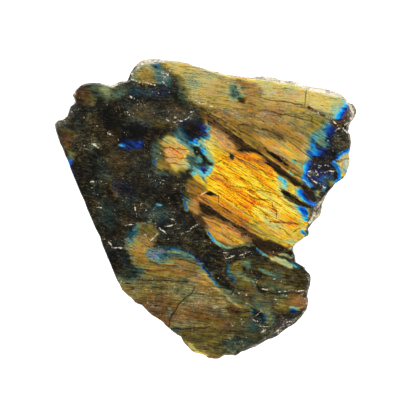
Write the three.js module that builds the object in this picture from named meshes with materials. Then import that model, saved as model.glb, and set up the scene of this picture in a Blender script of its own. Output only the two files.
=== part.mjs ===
// A semi-polished labradorite slab: one piece of stone, sawn flat on the back, polished flat on the
// face, and broken all the way round. Millimetres, +Z up. The slab lies on its sawn back with the
// polished face up, and the origin is on the back, under the middle of its box.
import * as THREE from 'three';

// Driving dimensions.
const WIDTH = 152.4;
const THICKNESS = 20;
// The point inside the slab from which a ray meets the broken edge only once, wherever it points.
const HEART = [-3, -7];
// The outline is cut into stretches no longer than this.
const LONGEST_STRETCH = 1.9;

// The broken shoulder between the polished face and the widest line of the edge. It drops by a fixed
// amount and by a share of its width, which the outline gives.
const SHOULDER_DROP = 0.9;
const SHOULDER_DROP_SHARE = 0.8;
// Part way down, the shoulder bulges over the straight line between its two ends.
const BULGE_WIDTH_SHARE = 0.5;
const BULGE_DROP_SHARE = 0.3;

// The wall below the widest line, in rings down to the worn arris round the back.
const WALL_RINGS = 6;
const ARRIS_HEIGHT = 1.2;
const ARRIS_INSET = 0.9;
// The wall leans in toward the back, by an amount that wanders between these two.
const LEAN_LEAST = 0.8;
const LEAN_MOST = 3.6;

// The stone breaks in flat facets that meet in steps. Their seeds stand in staggered rows down the
// wall, and each facet is sunk and tilted by its own amounts: mm, and mm per mm along and up.
const FACET_ROWS = 3;
const FACETS_PER_ROW = 44;
const FACET_DEPTH = [0, 3.4];
const FACET_TILT_ALONG = [-0.32, 0.32];
const FACET_TILT_UP = [-0.35, 0.25];
const DEEPEST_FACET = 4.2;
// A step down the wall counts this many times as far as a step along it, so facets are wider than high.
const FACET_STRETCH = 1.5;
// Under the widest line the facets reach their full depth only this far down.
const FACET_RUN_IN = 3.5;
// A shoulder this narrow marks a clean cleavage break with shallow facets, and one this wide a rough one.
const CLEAN_SHOULDER = 0.3;
const ROUGH_SHOULDER = 0.8;
const CLEAN_FACET_SHARE = 0.2;

// The outline, clockwise from the left corner, drawn on squared paper as the face is seen from above:
// squares to the right, squares down, and the width in mm of the shoulder there.
const OUTLINE = [
  // The left corner and the ragged top left.
  [53.5, 123.5, 1.0], [56.5, 119.5, 1.2], [61.5, 119, 1.0], [66.5, 115.5, 0.8], [69.5, 105.5, 0.8],
  [72, 104, 0.9], [74, 100.5, 1.5], [71.5, 94, 2.0], [74, 91.5, 1.5], [74.5, 89.5, 1.0], [79.5, 84.5, 1.0],
  [82.5, 83, 1.0], [90.5, 81.5, 0.9], [99, 82, 1.0], [104, 83.5, 1.2], [108.5, 84.5, 1.6],
  [112, 84, 1.8], [120.5, 80, 1.6], [126.5, 79.5, 1.2],
  // The crusted knob and the long upper edge.
  [130, 72, 0.8], [134, 65, 1.0], [139.5, 60.5, 2.2], [142.5, 58.5, 2.8], [150.5, 57, 3.0],
  [162, 58, 2.2], [167, 58.5, 1.2], [173, 59.5, 0.9], [188, 62, 0.7], [193, 64.5, 0.7],
  [199.5, 66, 0.8], [210.5, 69.5, 0.9], [229.5, 74, 1.1], [254, 76.5, 1.3], [258.5, 75, 2.4],
  [263, 74.5, 2.8], [270, 75.5, 2.8], [276, 77, 2.6], [280.5, 79, 2.4], [293, 79.5, 2.6],
  [306, 84, 3.0], [320.5, 86.5, 3.5], [328.5, 88, 3.8], [335, 90, 3.8], [340, 92, 3.4],
  [343, 93.5, 2.6], [344, 95.5, 2.0], [346.5, 97, 1.6],
  // The knob at the upper right corner.
  [350, 102, 2.0], [354, 103, 3.5], [356, 105, 4.0], [358, 108.5, 4.2], [358, 111, 4.2],
  [356, 117.5, 3.6], [354, 119.5, 3.0], [351.5, 122, 2.2], [350, 127, 1.6], [349, 131.5, 1.2],
  // The thin right edge, down to the broken corner.
  [351, 134, 1.0], [352, 142, 0.7], [351.5, 146.5, 0.7], [349.5, 154.5, 0.5], [350.5, 159, 0.5],
  [350.5, 162.5, 0.5], [347, 174, 0.5], [345, 177, 0.6], [342.5, 179.5, 0.6], [336, 183, 0.5],
  [332, 188.5, 0.8], [330, 190.5, 1.2], [325.5, 199, 2.2], [323.5, 203.5, 4.0], [322.5, 213, 5.0],
  [321, 216, 4.5], [314, 222, 3.0], [308.5, 229, 1.0], [309.5, 233, 1.0], [309, 235.5, 1.0],
  // The notch in the right side.
  [306, 237, 0.8], [296, 243.5, 0.6], [293.5, 246.5, 0.6], [293, 250, 0.9], [295.5, 256, 1.0],
  [296.5, 263, 0.6], [301, 265, 1.0], [305, 267, 1.2], [306, 270, 1.2], [309, 272.5, 1.3],
  [311, 275.5, 1.3], [311.5, 280, 1.2], [311, 285, 1.1], [308.5, 293.5, 0.9], [308, 297, 0.9],
  [309, 300.5, 1.0], [307.5, 310, 1.2],
  // The dark crust at the lower right.
  [301.5, 318.5, 2.0], [295, 325, 3.0], [289.5, 328.5, 3.5], [281.5, 334.5, 3.5], [279, 336.5, 3.2],
  [274, 339, 2.5], [268.5, 340.5, 2.0], [260, 345, 1.6], [256.5, 347.5, 1.5], [248.5, 350.5, 1.4],
  [245.5, 352, 1.3], [241.5, 353, 1.0], [236, 356.5, 0.7], [225, 356, 0.9], [219.5, 359.5, 0.8],
  [216.5, 360, 0.8], [208, 359, 0.7],
  // The lower left edge, which runs up in small steps.
  [206, 356.5, 0.6], [194, 353, 0.5], [191.5, 351.5, 0.5], [183.5, 343, 0.5], [181, 337.5, 0.5],
  [176.5, 335, 0.5], [172.5, 332, 0.5], [165.5, 326.5, 0.5], [163.5, 323.5, 0.5], [152, 316, 0.5],
  [148, 312.5, 0.5], [141.5, 305.5, 0.5], [137.5, 304.5, 0.6], [134, 302, 0.6], [130.5, 298, 0.6],
  [126, 295, 0.7], [121.5, 290.5, 0.7], [119.5, 286, 0.6],
  // The straight left side.
  [117, 281.5, 0.4], [108, 260, 0.3], [102, 245.5, 0.3], [99, 235.5, 0.3], [95.5, 229.5, 0.3],
  [87, 210, 0.3], [84, 201.5, 0.3], [78.5, 189.5, 0.3], [70.5, 170, 0.3], [67.5, 161, 0.3],
  [65, 156, 0.3], [62, 148, 0.4], [59.5, 143.5, 0.4], [55, 130.5, 0.6],
];

// A number from 0 to 1 that is always the same for the same seed.
function scatter(seed) {
  const wave = Math.sin(seed * 12.9898 + 78.233) * 43758.5453;
  return wave - Math.floor(wave);
}

function between([least, most], share) {
  return least + (most - least) * share;
}

function smoothStep(from, to, value) {
  const share = THREE.MathUtils.clamp((value - from) / (to - from), 0, 1);
  return share * share * (3 - 2 * share);
}

// The outline in mm about the middle of its box, with every long stretch divided.
function outlineStations() {
  const across = OUTLINE.map(([right]) => right);
  const down = OUTLINE.map(([, below]) => below);
  const square = WIDTH / (Math.max(...across) - Math.min(...across));
  const middle = [
    (Math.max(...across) + Math.min(...across)) / 2,
    (Math.max(...down) + Math.min(...down)) / 2,
  ];
  const corners = OUTLINE.map(([right, below, shoulder]) => ({
    x: (right - middle[0]) * square,
    y: (middle[1] - below) * square,
    shoulder,
  }));
  const stations = [];
  corners.forEach((corner, i) => {
    const next = corners[(i + 1) % corners.length];
    const length = Math.hypot(next.x - corner.x, next.y - corner.y);
    const parts = Math.ceil(length / LONGEST_STRETCH);
    for (let part = 0; part < parts; part += 1) {
      const share = part / parts;
      stations.push({
        x: THREE.MathUtils.lerp(corner.x, next.x, share),
        y: THREE.MathUtils.lerp(corner.y, next.y, share),
        shoulder: THREE.MathUtils.lerp(corner.shoulder, next.shoulder, share),
      });
    }
  });
  return stations;
}

// Each station gets its distance along the edge, and its bearing and radius from the heart.
function measureStations(stations) {
  let along = 0;
  stations.forEach((station, i) => {
    const last = stations[(i + stations.length - 1) % stations.length];
    along += i === 0 ? 0 : Math.hypot(station.x - last.x, station.y - last.y);
    const east = station.x - HEART[0];
    const north = station.y - HEART[1];
    Object.assign(station, { along, radius: Math.hypot(east, north), bearing: Math.atan2(north, east) });
  });
  const [first] = stations;
  const end = stations[stations.length - 1];
  return along + Math.hypot(first.x - end.x, first.y - end.y);
}

// The facets' seeds, in staggered rows along the whole edge.
function scatterFacets(girth) {
  const facets = [];
  for (let row = 0; row < FACET_ROWS; row += 1) {
    for (let i = 0; i < FACETS_PER_ROW; i += 1) {
      const seed = (row * FACETS_PER_ROW + i) * 7;
      facets.push({
        along: ((i + 0.5 * row + scatter(seed)) / FACETS_PER_ROW) * girth,
        height: ((row + 0.1 + 0.8 * scatter(seed + 1)) / FACET_ROWS) * THICKNESS,
        depth: between(FACET_DEPTH, scatter(seed + 2) ** 1.5),
        tiltAlong: between(FACET_TILT_ALONG, scatter(seed + 3)),
        tiltUp: between(FACET_TILT_UP, scatter(seed + 4)),
      });
    }
  }
  return facets;
}

// How far the wall is cut in at one place: by the facet whose seed is nearest.
function facetDepth(facets, girth, along, height) {
  let nearest = Infinity;
  let depth = 0;
  for (const facet of facets) {
    const sideways = THREE.MathUtils.euclideanModulo(along - facet.along + girth / 2, girth) - girth / 2;
    const upright = height - facet.height;
    const distance = Math.hypot(sideways, upright * FACET_STRETCH);
    if (distance < nearest) {
      nearest = distance;
      depth = facet.depth + facet.tiltAlong * sideways + facet.tiltUp * upright;
    }
  }
  return THREE.MathUtils.clamp(depth, 0, DEEPEST_FACET);
}

// One station of the edge from the polished face down to the sawn back, as points from the top.
function edgeColumn(station, facets, girth) {
  const turns = (station.along / girth) * Math.PI * 2;
  const wander = 0.5 + 0.25 * Math.sin(3 * turns + 1) + 0.25 * Math.sin(7 * turns + 2.4);
  const lean = between([LEAN_LEAST, LEAN_MOST], wander);
  const roughness = smoothStep(CLEAN_SHOULDER, ROUGH_SHOULDER, station.shoulder);
  const facetShare = between([CLEAN_FACET_SHARE, 1], roughness);
  const drop = SHOULDER_DROP + SHOULDER_DROP_SHARE * station.shoulder;
  const widest = THICKNESS - drop;
  const rings = [
    { inset: station.shoulder, height: THICKNESS },
    { inset: station.shoulder * (1 - BULGE_WIDTH_SHARE), height: THICKNESS - drop * BULGE_DROP_SHARE },
    { inset: 0, height: widest },
  ];
  for (let ring = 1; ring <= WALL_RINGS; ring += 1) {
    const share = ring / WALL_RINGS;
    const height = THREE.MathUtils.lerp(widest, ARRIS_HEIGHT, share);
    const sunk = facetDepth(facets, girth, station.along, height);
    const reach = facetShare * smoothStep(0, FACET_RUN_IN, widest - height);
    rings.push({ inset: lean * share * share + sunk * reach, height });
  }
  rings.push({ inset: rings[rings.length - 1].inset + ARRIS_INSET, height: 0 });
  return rings.map(({ inset, height }) => [
    HEART[0] + (station.radius - inset) * Math.cos(station.bearing),
    HEART[1] + (station.radius - inset) * Math.sin(station.bearing),
    height,
  ]);
}

// The wall's triangles. The stations run clockwise, so this order turns the faces outward.
function wallTriangles(stationCount, ringCount) {
  const triangles = [];
  for (let i = 0; i < stationCount; i += 1) {
    const here = i * ringCount;
    const next = ((i + 1) % stationCount) * ringCount;
    for (let ring = 0; ring < ringCount - 1; ring += 1) {
      triangles.push(here + ring, next + ring, here + ring + 1);
      triangles.push(next + ring, next + ring + 1, here + ring + 1);
    }
  }
  return triangles;
}

// The triangles of a flat face, whose rim is one ring of the columns.
function flatTriangles(columns, ring, facesUp) {
  const rim = columns.map((column) => new THREE.Vector2(column[ring][0], column[ring][1]));
  const ringCount = columns[0].length;
  return THREE.ShapeUtils.triangulateShape(rim, []).flatMap((corners) => {
    const [a, b, c] = corners.map((corner) => rim[corner]);
    const turnsLeft = (b.x - a.x) * (c.y - a.y) - (b.y - a.y) * (c.x - a.x) > 0;
    const ordered = turnsLeft === facesUp ? corners : [...corners].reverse();
    return ordered.map((corner) => corner * ringCount + ring);
  });
}

function slabGeometry() {
  const stations = outlineStations();
  const girth = measureStations(stations);
  const facets = scatterFacets(girth);
  const columns = stations.map((station) => edgeColumn(station, facets, girth));
  const ringCount = columns[0].length;
  const geometry = new THREE.BufferGeometry();
  geometry.setAttribute('position', new THREE.Float32BufferAttribute(columns.flat(2), 3));
  geometry.setIndex([
    ...wallTriangles(columns.length, ringCount),
    ...flatTriangles(columns, 0, true),
    ...flatTriangles(columns, ringCount - 1, false),
  ]);
  geometry.computeVertexNormals();
  return geometry;
}

const labradorite = new THREE.MeshStandardMaterial({ color: 0x5a5138, roughness: 0.4, metalness: 0.1 });

function buildSlab() {
  const slab = new THREE.Mesh(slabGeometry(), labradorite);
  slab.name = 'slab';
  return slab;
}

const piece = new THREE.Group();
piece.name = 'labradorite slab';
piece.add(buildSlab());

export default piece;
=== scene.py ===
# %% [markdown]
# # A semi-polished slab of labradorite
#
# Labradorite is a dark feldspar. Thin layers inside it act like an oil film: light that bounces between
# them comes out gold, green or blue, and the colour changes with the spacing of the layers. A slab is
# sawn off a lump, one face is ground and polished, the back keeps its saw marks, and the rim stays as it
# broke. This lesson dresses one such slab. The construction model gives its true size and its broken
# outline, and everything here is worked out from that.

# %% Load the construction model
import itertools
import math

import bpy
import numpy as np
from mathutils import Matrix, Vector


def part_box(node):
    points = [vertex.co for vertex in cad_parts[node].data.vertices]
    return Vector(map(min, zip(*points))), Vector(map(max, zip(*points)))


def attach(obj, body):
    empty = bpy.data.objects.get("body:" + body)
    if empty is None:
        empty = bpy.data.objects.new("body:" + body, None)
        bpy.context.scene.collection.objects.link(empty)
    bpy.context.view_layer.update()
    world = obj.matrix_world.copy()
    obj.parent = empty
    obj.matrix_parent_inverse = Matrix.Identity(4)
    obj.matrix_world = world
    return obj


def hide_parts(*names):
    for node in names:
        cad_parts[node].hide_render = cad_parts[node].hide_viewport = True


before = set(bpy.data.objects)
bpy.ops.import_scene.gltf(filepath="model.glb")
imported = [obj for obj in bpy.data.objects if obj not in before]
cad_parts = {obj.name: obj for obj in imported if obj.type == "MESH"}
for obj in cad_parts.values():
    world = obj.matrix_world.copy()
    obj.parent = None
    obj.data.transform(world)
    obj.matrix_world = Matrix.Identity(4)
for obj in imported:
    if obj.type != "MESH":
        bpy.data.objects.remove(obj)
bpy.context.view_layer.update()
low_corner, high_corner = (np.array(corner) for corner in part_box("slab"))
WIDTH, DEPTH, THICKNESS = high_corner - low_corner
print("slab:", [round(float(side), 4) for side in (WIDTH, DEPTH, THICKNESS)], "m")

# %% [markdown]
# ## The broken edge, read back from the construction
#
# The construction model is a stack of rings: the edge of the polished face, the broken shoulder, and the
# wall down to the back. Each ring has a point in every direction from one point inside the slab, the
# heart. We could draw the outline again here, but then two drawings would have to agree. Sorting the
# model's own points by direction, and then by height, gives the same rings with nothing to keep in step.

# %% Sort the edge into columns
HEART = np.array([-0.003, -0.007])
RINGS = 10
WIDEST_RING = 2


def edge_columns(mesh):
    """The model's points as columns, one in each direction from the heart, each from the top down."""
    flat = np.zeros(len(mesh.vertices) * 3)
    mesh.vertices.foreach_get("co", flat)
    points = np.unique(flat.reshape(-1, 3), axis=0)
    bearing = np.arctan2(points[:, 1] - HEART[1], points[:, 0] - HEART[0])
    columns = points[np.argsort(bearing)].reshape(-1, RINGS, 3)
    downward = np.argsort(-columns[..., 2], axis=1)
    return np.take_along_axis(columns, downward[..., None], axis=1)


columns = edge_columns(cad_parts["slab"].data)
column_bearing = np.arctan2(columns[:, 0, 1] - HEART[1], columns[:, 0, 0] - HEART[0])
column_reach = np.hypot(columns[..., 0] - HEART[0], columns[..., 1] - HEART[1])
column_height = columns[..., 2]
print("edge columns:", len(columns))


def around(values, bearings):
    """Each column of values, one per edge column, read off at any bearings round the slab."""
    rings = [np.interp(bearings, column_bearing, ring, period=2 * math.pi) for ring in values.T]
    return np.stack(rings)


# %% [markdown]
# ## Numbers that look like nature
#
# Stone needs unevenness that is the same on every run. `scatter` turns whole numbers into a number
# between 0 and 1 that looks random but isn't. `noise` spreads such numbers over space and blends them
# smoothly, and `facets` breaks space into small flat tilted cells, which is how feldspar cleaves.

# %% Noise and facets
def scatter(lattice, seed):
    """0 to 1 for each whole-number corner: what follows the point in a very tall sine wave."""
    wave = np.sin(lattice @ np.array([12.9898, 78.233, 37.719]) + seed * 4.137) * 43758.5453
    return wave - np.floor(wave)


def in_space(flat):
    """Points on a plane as points in space, at height 0."""
    return np.concatenate([flat, np.zeros((len(flat), 1))], axis=1)


def noise(points, size, seed=0):
    """Smooth lumps from 0 to 1, `size` across: random values at a lattice's corners, with 3t^2 - 2t^3
    between them."""
    cell = points / size
    low = np.floor(cell)
    blend = (cell - low) ** 2 * (3 - 2 * (cell - low))
    total = np.zeros(points.shape[:-1])
    for corner in itertools.product((0, 1), repeat=3):
        share = np.prod(np.where(corner, blend, 1 - blend), axis=-1)
        total += share * scatter(low + np.array(corner), seed)
    return total


def facets(points, size, seed=0):
    """0 to 1, flat in each cell of the points nearest to one seed, and tilted by the cell's own slope."""
    cell = points / size
    low = np.floor(cell)
    nearest = np.full(points.shape[:-1], np.inf)
    height = np.zeros(points.shape[:-1])
    for corner in itertools.product((-1, 0, 1), repeat=3):
        lattice = low + np.array(corner)
        seeds = lattice + np.stack([scatter(lattice, seed + axis) for axis in range(3)], axis=-1)
        away = cell - seeds
        distance = np.sum(away**2, axis=-1)
        slope = np.stack([scatter(lattice, seed + 3 + axis) - 0.5 for axis in range(3)], axis=-1)
        plane = scatter(lattice, seed + 6) + 0.7 * np.sum(slope * away, axis=-1)
        height = np.where(distance < nearest, plane, height)
        nearest = np.minimum(nearest, distance)
    return np.clip(height, 0, 1)


def soft_step(start, end, value):
    """0 before start, 1 after end, and 3t^2 - 2t^3 between them."""
    share = np.clip((value - start) / (end - start), 0, 1)
    return share * share * (3 - 2 * share)


# %% [markdown]
# ## The slab as one skin
#
# The polished face is a square net of points pressed into a disc and then stretched out to the broken
# outline. A net of rings and spokes would bunch its points at the middle; the pressed square keeps them
# almost evenly spaced, half a millimetre apart, so that markings can be painted on the points. The net's
# border then runs on down the shoulder and the wall, and the back closes it.

# %% Work out the skin's points
NET = 256
WALL_ROWS = 26
# Toward the heart the outline turns into its own mean over these turns to either side, in radians, and
# its corners fade out with this power of the distance from the heart.
ROUNDING_TURNS = np.linspace(-0.35, 0.35, 15)
CORNER_FADE = 3
# The unevenness broken into the wall on top of the construction's facets.
SPLINTER_SIZE, SPLINTER_DEPTH = 0.0035, 0.0007
GRIT_SIZE, GRIT_DEPTH = 0.0012, 0.0003


def pressed_square(net):
    """A square net as a disc: the longer of the two distances from the middle is the radius, and their
    ratio, times an eighth of a turn, is the bearing within that quarter."""
    across, up = np.meshgrid(np.linspace(-1, 1, net), np.linspace(-1, 1, net))
    wide = np.abs(across) >= np.abs(up)
    longer = np.where(wide, across, up)
    shorter = np.where(wide, up, across)
    lean = math.pi / 4 * shorter / np.where(longer == 0, 1, longer)
    bearing = np.where(wide, lean, math.pi / 2 - lean) + np.where(longer < 0, math.pi, 0)
    return np.abs(longer), bearing


def border_of_square(net):
    """The numbers of the net's border points, anticlockwise from its lower left corner."""
    number = np.arange(net * net).reshape(net, net)
    sides = [number[0, :-1], number[:-1, -1], number[-1, :0:-1], number[:0:-1, 0]]
    return np.concatenate(sides)


def from_heart(reach, bearing, height):
    """Points from their distance and bearing from the heart, and their height."""
    x, y = HEART[0] + reach * np.cos(bearing), HEART[1] + reach * np.sin(bearing)
    return np.stack([x, y, height], axis=-1)


def face_points(net):
    """The polished face: heart + radius x reach, where reach runs from a rounded outline at the heart to
    the true one at the border."""
    radius, bearing = pressed_square(net)
    reach = around(column_reach, bearing.ravel())[0].reshape(bearing.shape)
    turned_outlines = [around(column_reach[:, :1], bearing.ravel() + turn)[0] for turn in ROUNDING_TURNS]
    rounded = np.mean(turned_outlines, axis=0).reshape(bearing.shape)
    reach = rounded + (reach - rounded) * radius**CORNER_FADE
    return from_heart(radius * reach, bearing, np.full_like(radius, THICKNESS)).reshape(-1, 3)


def wall_points(bearings, rows):
    """The shoulder and wall below the face's edge: the construction's rings, blended into more rows, and
    broken inward by splinters and grit, but not at the face's edge, the widest ring or the back."""
    reach, height = around(column_reach, bearings), around(column_height, bearings)
    place = np.linspace(0, RINGS - 1, rows + 1)[1:]
    upper = np.minimum(place.astype(int), RINGS - 2)
    share = (place - upper)[:, None]
    reach = reach[upper] * (1 - share) + reach[upper + 1] * share
    height = height[upper] * (1 - share) + height[upper + 1] * share
    points = from_heart(reach, bearings, height)
    broken = SPLINTER_DEPTH * facets(points, SPLINTER_SIZE, 11) + GRIT_DEPTH * facets(points, GRIT_SIZE, 23)
    loose = soft_step(0, 1.2, place) * soft_step(RINGS - 1, RINGS - 1.6, place)
    loose *= soft_step(-0.4, 1.2, np.abs(place - WIDEST_RING))
    return from_heart(reach - broken * loose[:, None], bearings, height).reshape(-1, 3)


border = border_of_square(NET)
face = face_points(NET)
border_bearings = pressed_square(NET)[1].ravel()[border]
wall = wall_points(border_bearings, WALL_ROWS)
points = np.concatenate([face, wall])
print("points on the face:", len(face), "and on the wall:", len(wall))

# %% [markdown]
# ## A drawing on squared paper
#
# The markings are drawn as a maker of a replica would draw them: closed patches and lines on squared paper
# with squares of half a millimetre. A text such as "56,120 72,114" names two corners, each by the squares
# to the right of the sheet's corner and down from it. The paper is bent a little by noise before a point
# of the face is looked up on it, so no patch ends in a straight cut.

# %% The squared paper
SHEET_SQUARES = 304.5
SHEET_MIDDLE = np.array([205.75, 208.5])
SQUARE = WIDTH / SHEET_SQUARES
# How steeply the grain runs down to the right, in degrees, at some rows of the sheet. It is steep in the
# middle and level at the bottom.
GRAIN_ROWS, GRAIN_TILTS = [70, 110, 150, 215, 260, 300], [8, 14, 30, 30, 12, 2]


def squares(text):
    """The corners that a text names."""
    return np.array([corner.split(",") for corner in text.split()], float)


def on_sheet(points):
    """Squares to the right and squares down, for points in metres."""
    return np.stack([points[:, 0], -points[:, 1]], axis=1) / SQUARE + SHEET_MIDDLE


def steepness(spots):
    """0 where the grain is level and 1 where it is steep."""
    return np.clip((np.interp(spots[:, 1], GRAIN_ROWS, GRAIN_TILTS) - 6) / 20, 0, 1)


def turned(spots, tilt):
    """Coordinates along and across a direction that runs down to the right by `tilt` degrees."""
    cos, sin = math.cos(math.radians(tilt)), math.sin(math.radians(tilt))
    return np.stack([spots @ [cos, sin], spots @ [-sin, cos]], axis=1)


def bent(spots, amount, size, seed):
    """The sheet pushed up to half of `amount` squares either way by lumps of noise."""
    flat = in_space(spots)
    push = [amount * (noise(flat, size, seed + axis) - 0.5) for axis in (0, 1)]
    return spots + np.stack(push, axis=1)


def frayed(spots, tilt, seed):
    """The sheet bent, then pulled back and forth along the grain by noise that is long with the grain
    and thin across it."""
    lined = turned(spots, tilt)
    pull = 5 * (noise(in_space(lined / [5, 1]), 2.4, seed + 2) - 0.5)
    pull += 2.4 * (noise(in_space(lined / [4, 1]), 1.2, seed + 3) - 0.5)
    return bent(spots, 3.0, 8, seed) + pull[:, None] * turned(np.array([[1.0, 0.0]]), -tilt)


def ragged(spots):
    """The sheet frayed along a shallow grain and a steep one, blended by how steep the grain is."""
    steep = steepness(spots)[:, None]
    return frayed(spots, 8, 31) * (1 - steep) + frayed(spots, 30, 41) * steep


print("one square is", round(SQUARE * 1000, 3), "mm")

# %% [markdown]
# ## How far from a line, how deep in a patch
#
# A drawn line is a chain of straight stretches. The nearest point of a stretch is found by dropping a
# perpendicular on it, held between the stretch's ends, for all points and stretches at once. Which side
# of the line a point lies on is the sign of a cross product. A point is inside a closed line if a ray
# from it crosses the line an odd number of times.

# %% Measure from drawn lines
def stretches(corners, closed):
    """The starts and the steps of a line's straight stretches."""
    ends = np.roll(corners, -1, axis=0)
    last = len(corners) if closed else -1
    return corners[:last], (ends - corners)[:last]


def foot(spots, starts, steps):
    """What leads to each spot from the nearest point of each stretch."""
    leads = spots[:, None, :] - starts
    share = np.clip(np.sum(leads * steps, axis=-1) / np.sum(steps**2, axis=-1), 0, 1)
    return leads - share[..., None] * steps


def away_from(spots, corners, closed=False):
    """The distance from each spot to a line."""
    starts, steps = stretches(corners, closed)
    return np.sqrt(np.sum(foot(spots, starts, steps) ** 2, axis=-1)).min(axis=1)


def side_of(spots, corners):
    """How far to the right of a line each spot lies, less than 0 on its left, and its plain distance."""
    starts, steps = stretches(corners, closed=False)
    leads = foot(spots, starts, steps)
    away = np.sqrt(np.sum(leads**2, axis=-1))
    nearest = away.argmin(axis=1)
    row = np.arange(len(spots))
    lead, step = leads[row, nearest], steps[nearest]
    turn = step[:, 0] * lead[:, 1] - step[:, 1] * lead[:, 0]
    return np.sign(turn) * away[row, nearest], away[row, nearest]


def depth_in(spots, corners):
    """The distance to a closed line, less than 0 outside it."""
    starts, steps = stretches(corners, closed=True)
    x, y = spots[:, :1], spots[:, 1:]
    spans = (starts[:, 1] > y) != (starts[:, 1] + steps[:, 1] > y)
    rise = np.where(steps[:, 1] == 0, 1, steps[:, 1])
    crossing = starts[:, 0] + (y - starts[:, 1]) / rise * steps[:, 0]
    inside = np.sum(spans & (x < crossing), axis=1) % 2 == 1
    return np.where(inside, 1, -1) * away_from(spots, corners, closed=True)


# %% [markdown]
# ## Layers and brushes
#
# Every point of the face has a number in each layer. Three make the colour. `tone` is how light the plain
# rock is. `flash` is the order of the colours in the film: 0 is indigo, then blue, cyan, green, yellow,
# gold, orange and, at 1, copper. The flash is reflected light, painted into the colour as it shows from
# straight above. `glow` is how strongly the flash covers the rock. The dark layer over both is painted
# shade, and the bruise layer is how bruised the stone is, with painted glints and the painted light of
# the upper rims in it. `wedge` is the depth inside a sharp black patch. `crack`, `ridge` and `gleam` are
# lines as thin as a hair: a dark split, a crushed white one that in places is a painted glint, and a lit
# edge, which is a painted highlight. Each of them also keeps how far to its right a point lies, because
# the material can turn that distance into a line sharper than the net of points. `steep` isn't drawn: it
# is the tilt of the grain.

# %% The brushes
WEDGE_REACH = 3.0
HAIR_REACH, HAIR_CORE = 2.9, 2
# On the ragged paper a border is wider than drawn by this factor.
SOFTNESS = 1.5
# Dark rock still counts this little when colours run together, so that nothing is divided by 0.
LEAST_SHARE = 0.0004
HAIRS = ("crack", "ridge", "gleam")


def smoothed(grid, passes):
    """A grid whose numbers are pulled toward their neighbours', a quarter, a half and a quarter at a time."""
    for _ in range(passes):
        wide = np.pad(grid, 1, mode="edge")
        tall = (wide[:-2] + 2 * wide[1:-1] + wide[2:]) / 4
        grid = (tall[:, :-2] + 2 * tall[:, 1:-1] + tall[:, 2:]) / 4
    return grid


class Drawing:
    """The numbers painted on every point of the face."""

    def __init__(self, spots):
        self.spots = {"ragged": ragged(spots), "true": bent(spots, 1.6, 5, 47)}
        names = ("tone", "flash", "glow", "smoke", "scar", *HAIRS, *(hair + "_side" for hair in HAIRS))
        self.layers = {name: np.zeros(len(spots)) for name in names}
        self.layers["wedge"] = np.full(len(spots), -WEDGE_REACH)
        self.layers["steep"] = steepness(spots)

    def near(self, text, margin, paper):
        """The corners of a text, the points within a margin of the box round them, and their spots."""
        corners, spots = squares(text), self.spots[paper]
        low, high = corners.min(axis=0) - margin, corners.max(axis=0) + margin
        chosen = np.flatnonzero(np.all((spots > low) & (spots < high), axis=1))
        return corners, chosen, spots[chosen]

    def lay(self, chosen, weight, values):
        """Bring each named layer toward its value by the weight."""
        for name, value in values.items():
            layer = self.layers[name]
            layer[chosen] += (value - layer[chosen]) * weight

    def lift(self, name, chosen, values):
        """Keep the higher of what a layer holds and new values."""
        self.layers[name][chosen] = np.maximum(self.layers[name][chosen], values)

    def patch(self, edge, text, fringe=0.0, **values):
        """A closed patch whose border is `edge` squares wide. The order of its colours sets in over a
        further `fringe` squares, so its border runs through the colours between."""
        edge = edge * SOFTNESS
        corners, chosen, spots = self.near(text, edge, "ragged")
        depth = depth_in(spots, corners)
        if "flash" in values:
            flash = {"flash": values.pop("flash")}
            self.lay(chosen, soft_step(-edge / 2 - 1, fringe - edge / 2, depth), flash)
        self.lay(chosen, soft_step(-edge / 2, edge / 2, depth), values)

    def line(self, text, width, edge, paper="true", strength=1.0, **values):
        """A drawn line, solid to half its width and then fading over `edge` squares."""
        corners, chosen, spots = self.near(text, width + edge, paper)
        away = away_from(spots, corners)
        self.lay(chosen, strength * soft_step(width / 2 + edge, width / 2 - 0.01, away), values)

    def wedge(self, text):
        """A black patch, kept as the depth inside its border."""
        corners, chosen, spots = self.near(text, WEDGE_REACH, "true")
        self.lift("wedge", chosen, depth_in(spots, corners))

    def smoke(self, dark, edge, text):
        """A patch of painted shade whose border is `edge` squares wide."""
        corners, chosen, spots = self.near(text, edge, "true")
        self.lift("smoke", chosen, dark * soft_step(-edge / 2, edge / 2, depth_in(spots, corners)))

    def shadow(self, dark, left, right, text):
        """A painted shadow: a dark line that fades away over `left` squares on its left and `right` squares
        on its right.
        """
        corners, chosen, spots = self.near(text, max(left, right), "true")
        side, away = side_of(spots, corners)
        self.lift("smoke", chosen, dark * np.clip(1 - away / np.where(side > 0, right, left), 0, 1))

    def hair(self, layer, strength, text):
        """A line one square wide, kept as how near it is and the distance to its right or left."""
        corners, chosen, spots = self.near(text, 3, "true")
        side, away = side_of(spots, corners)
        near = away < HAIR_REACH
        chosen, side, away = chosen[near], side[near], away[near]
        self.layers[layer][chosen] = strength * soft_step(HAIR_REACH, HAIR_CORE, away)
        self.layers[layer + "_side"][chosen] = side

    def run_together(self, passes):
        """Blend each point's flash with its neighbours', each counted by the square of its glow, so that
        colours run into each other and the dark rock's number stays out of them."""
        share = (self.layers["glow"] ** 2 + LEAST_SHARE).reshape(NET, NET)
        flash = self.layers["flash"].reshape(NET, NET)
        blended = smoothed(flash * share, passes) / smoothed(share, passes)
        self.layers["flash"] = blended.ravel()


draw = Drawing(on_sheet(face))
print("layers:", ", ".join(draw.layers))

# %% [markdown]
# ## The dark rock
#
# Most of the slab's left side shows no flash at this angle: it is nearly black feldspar, mottled with
# olive and grey. We paint how light it is, and a faint dull flash where some of the film's colour still
# shows through. Each row of a table is one patch: its tone, its flash, its glow, how wide its border is in
# squares, its corners, and for a few patches how far the colours run on inside the border. KEEP leaves a
# number as it was. Rows of lines are put aside, because the thin lines go over the finished colours.

# %% Paint the dark rock
KEEP = None
THIN_LINES = []


def painted(tone, flash, glow):
    """The layers that a row changes."""
    values = {"tone": tone, "flash": flash, "glow": glow}
    return {name: value for name, value in values.items() if value is not KEEP}


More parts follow.
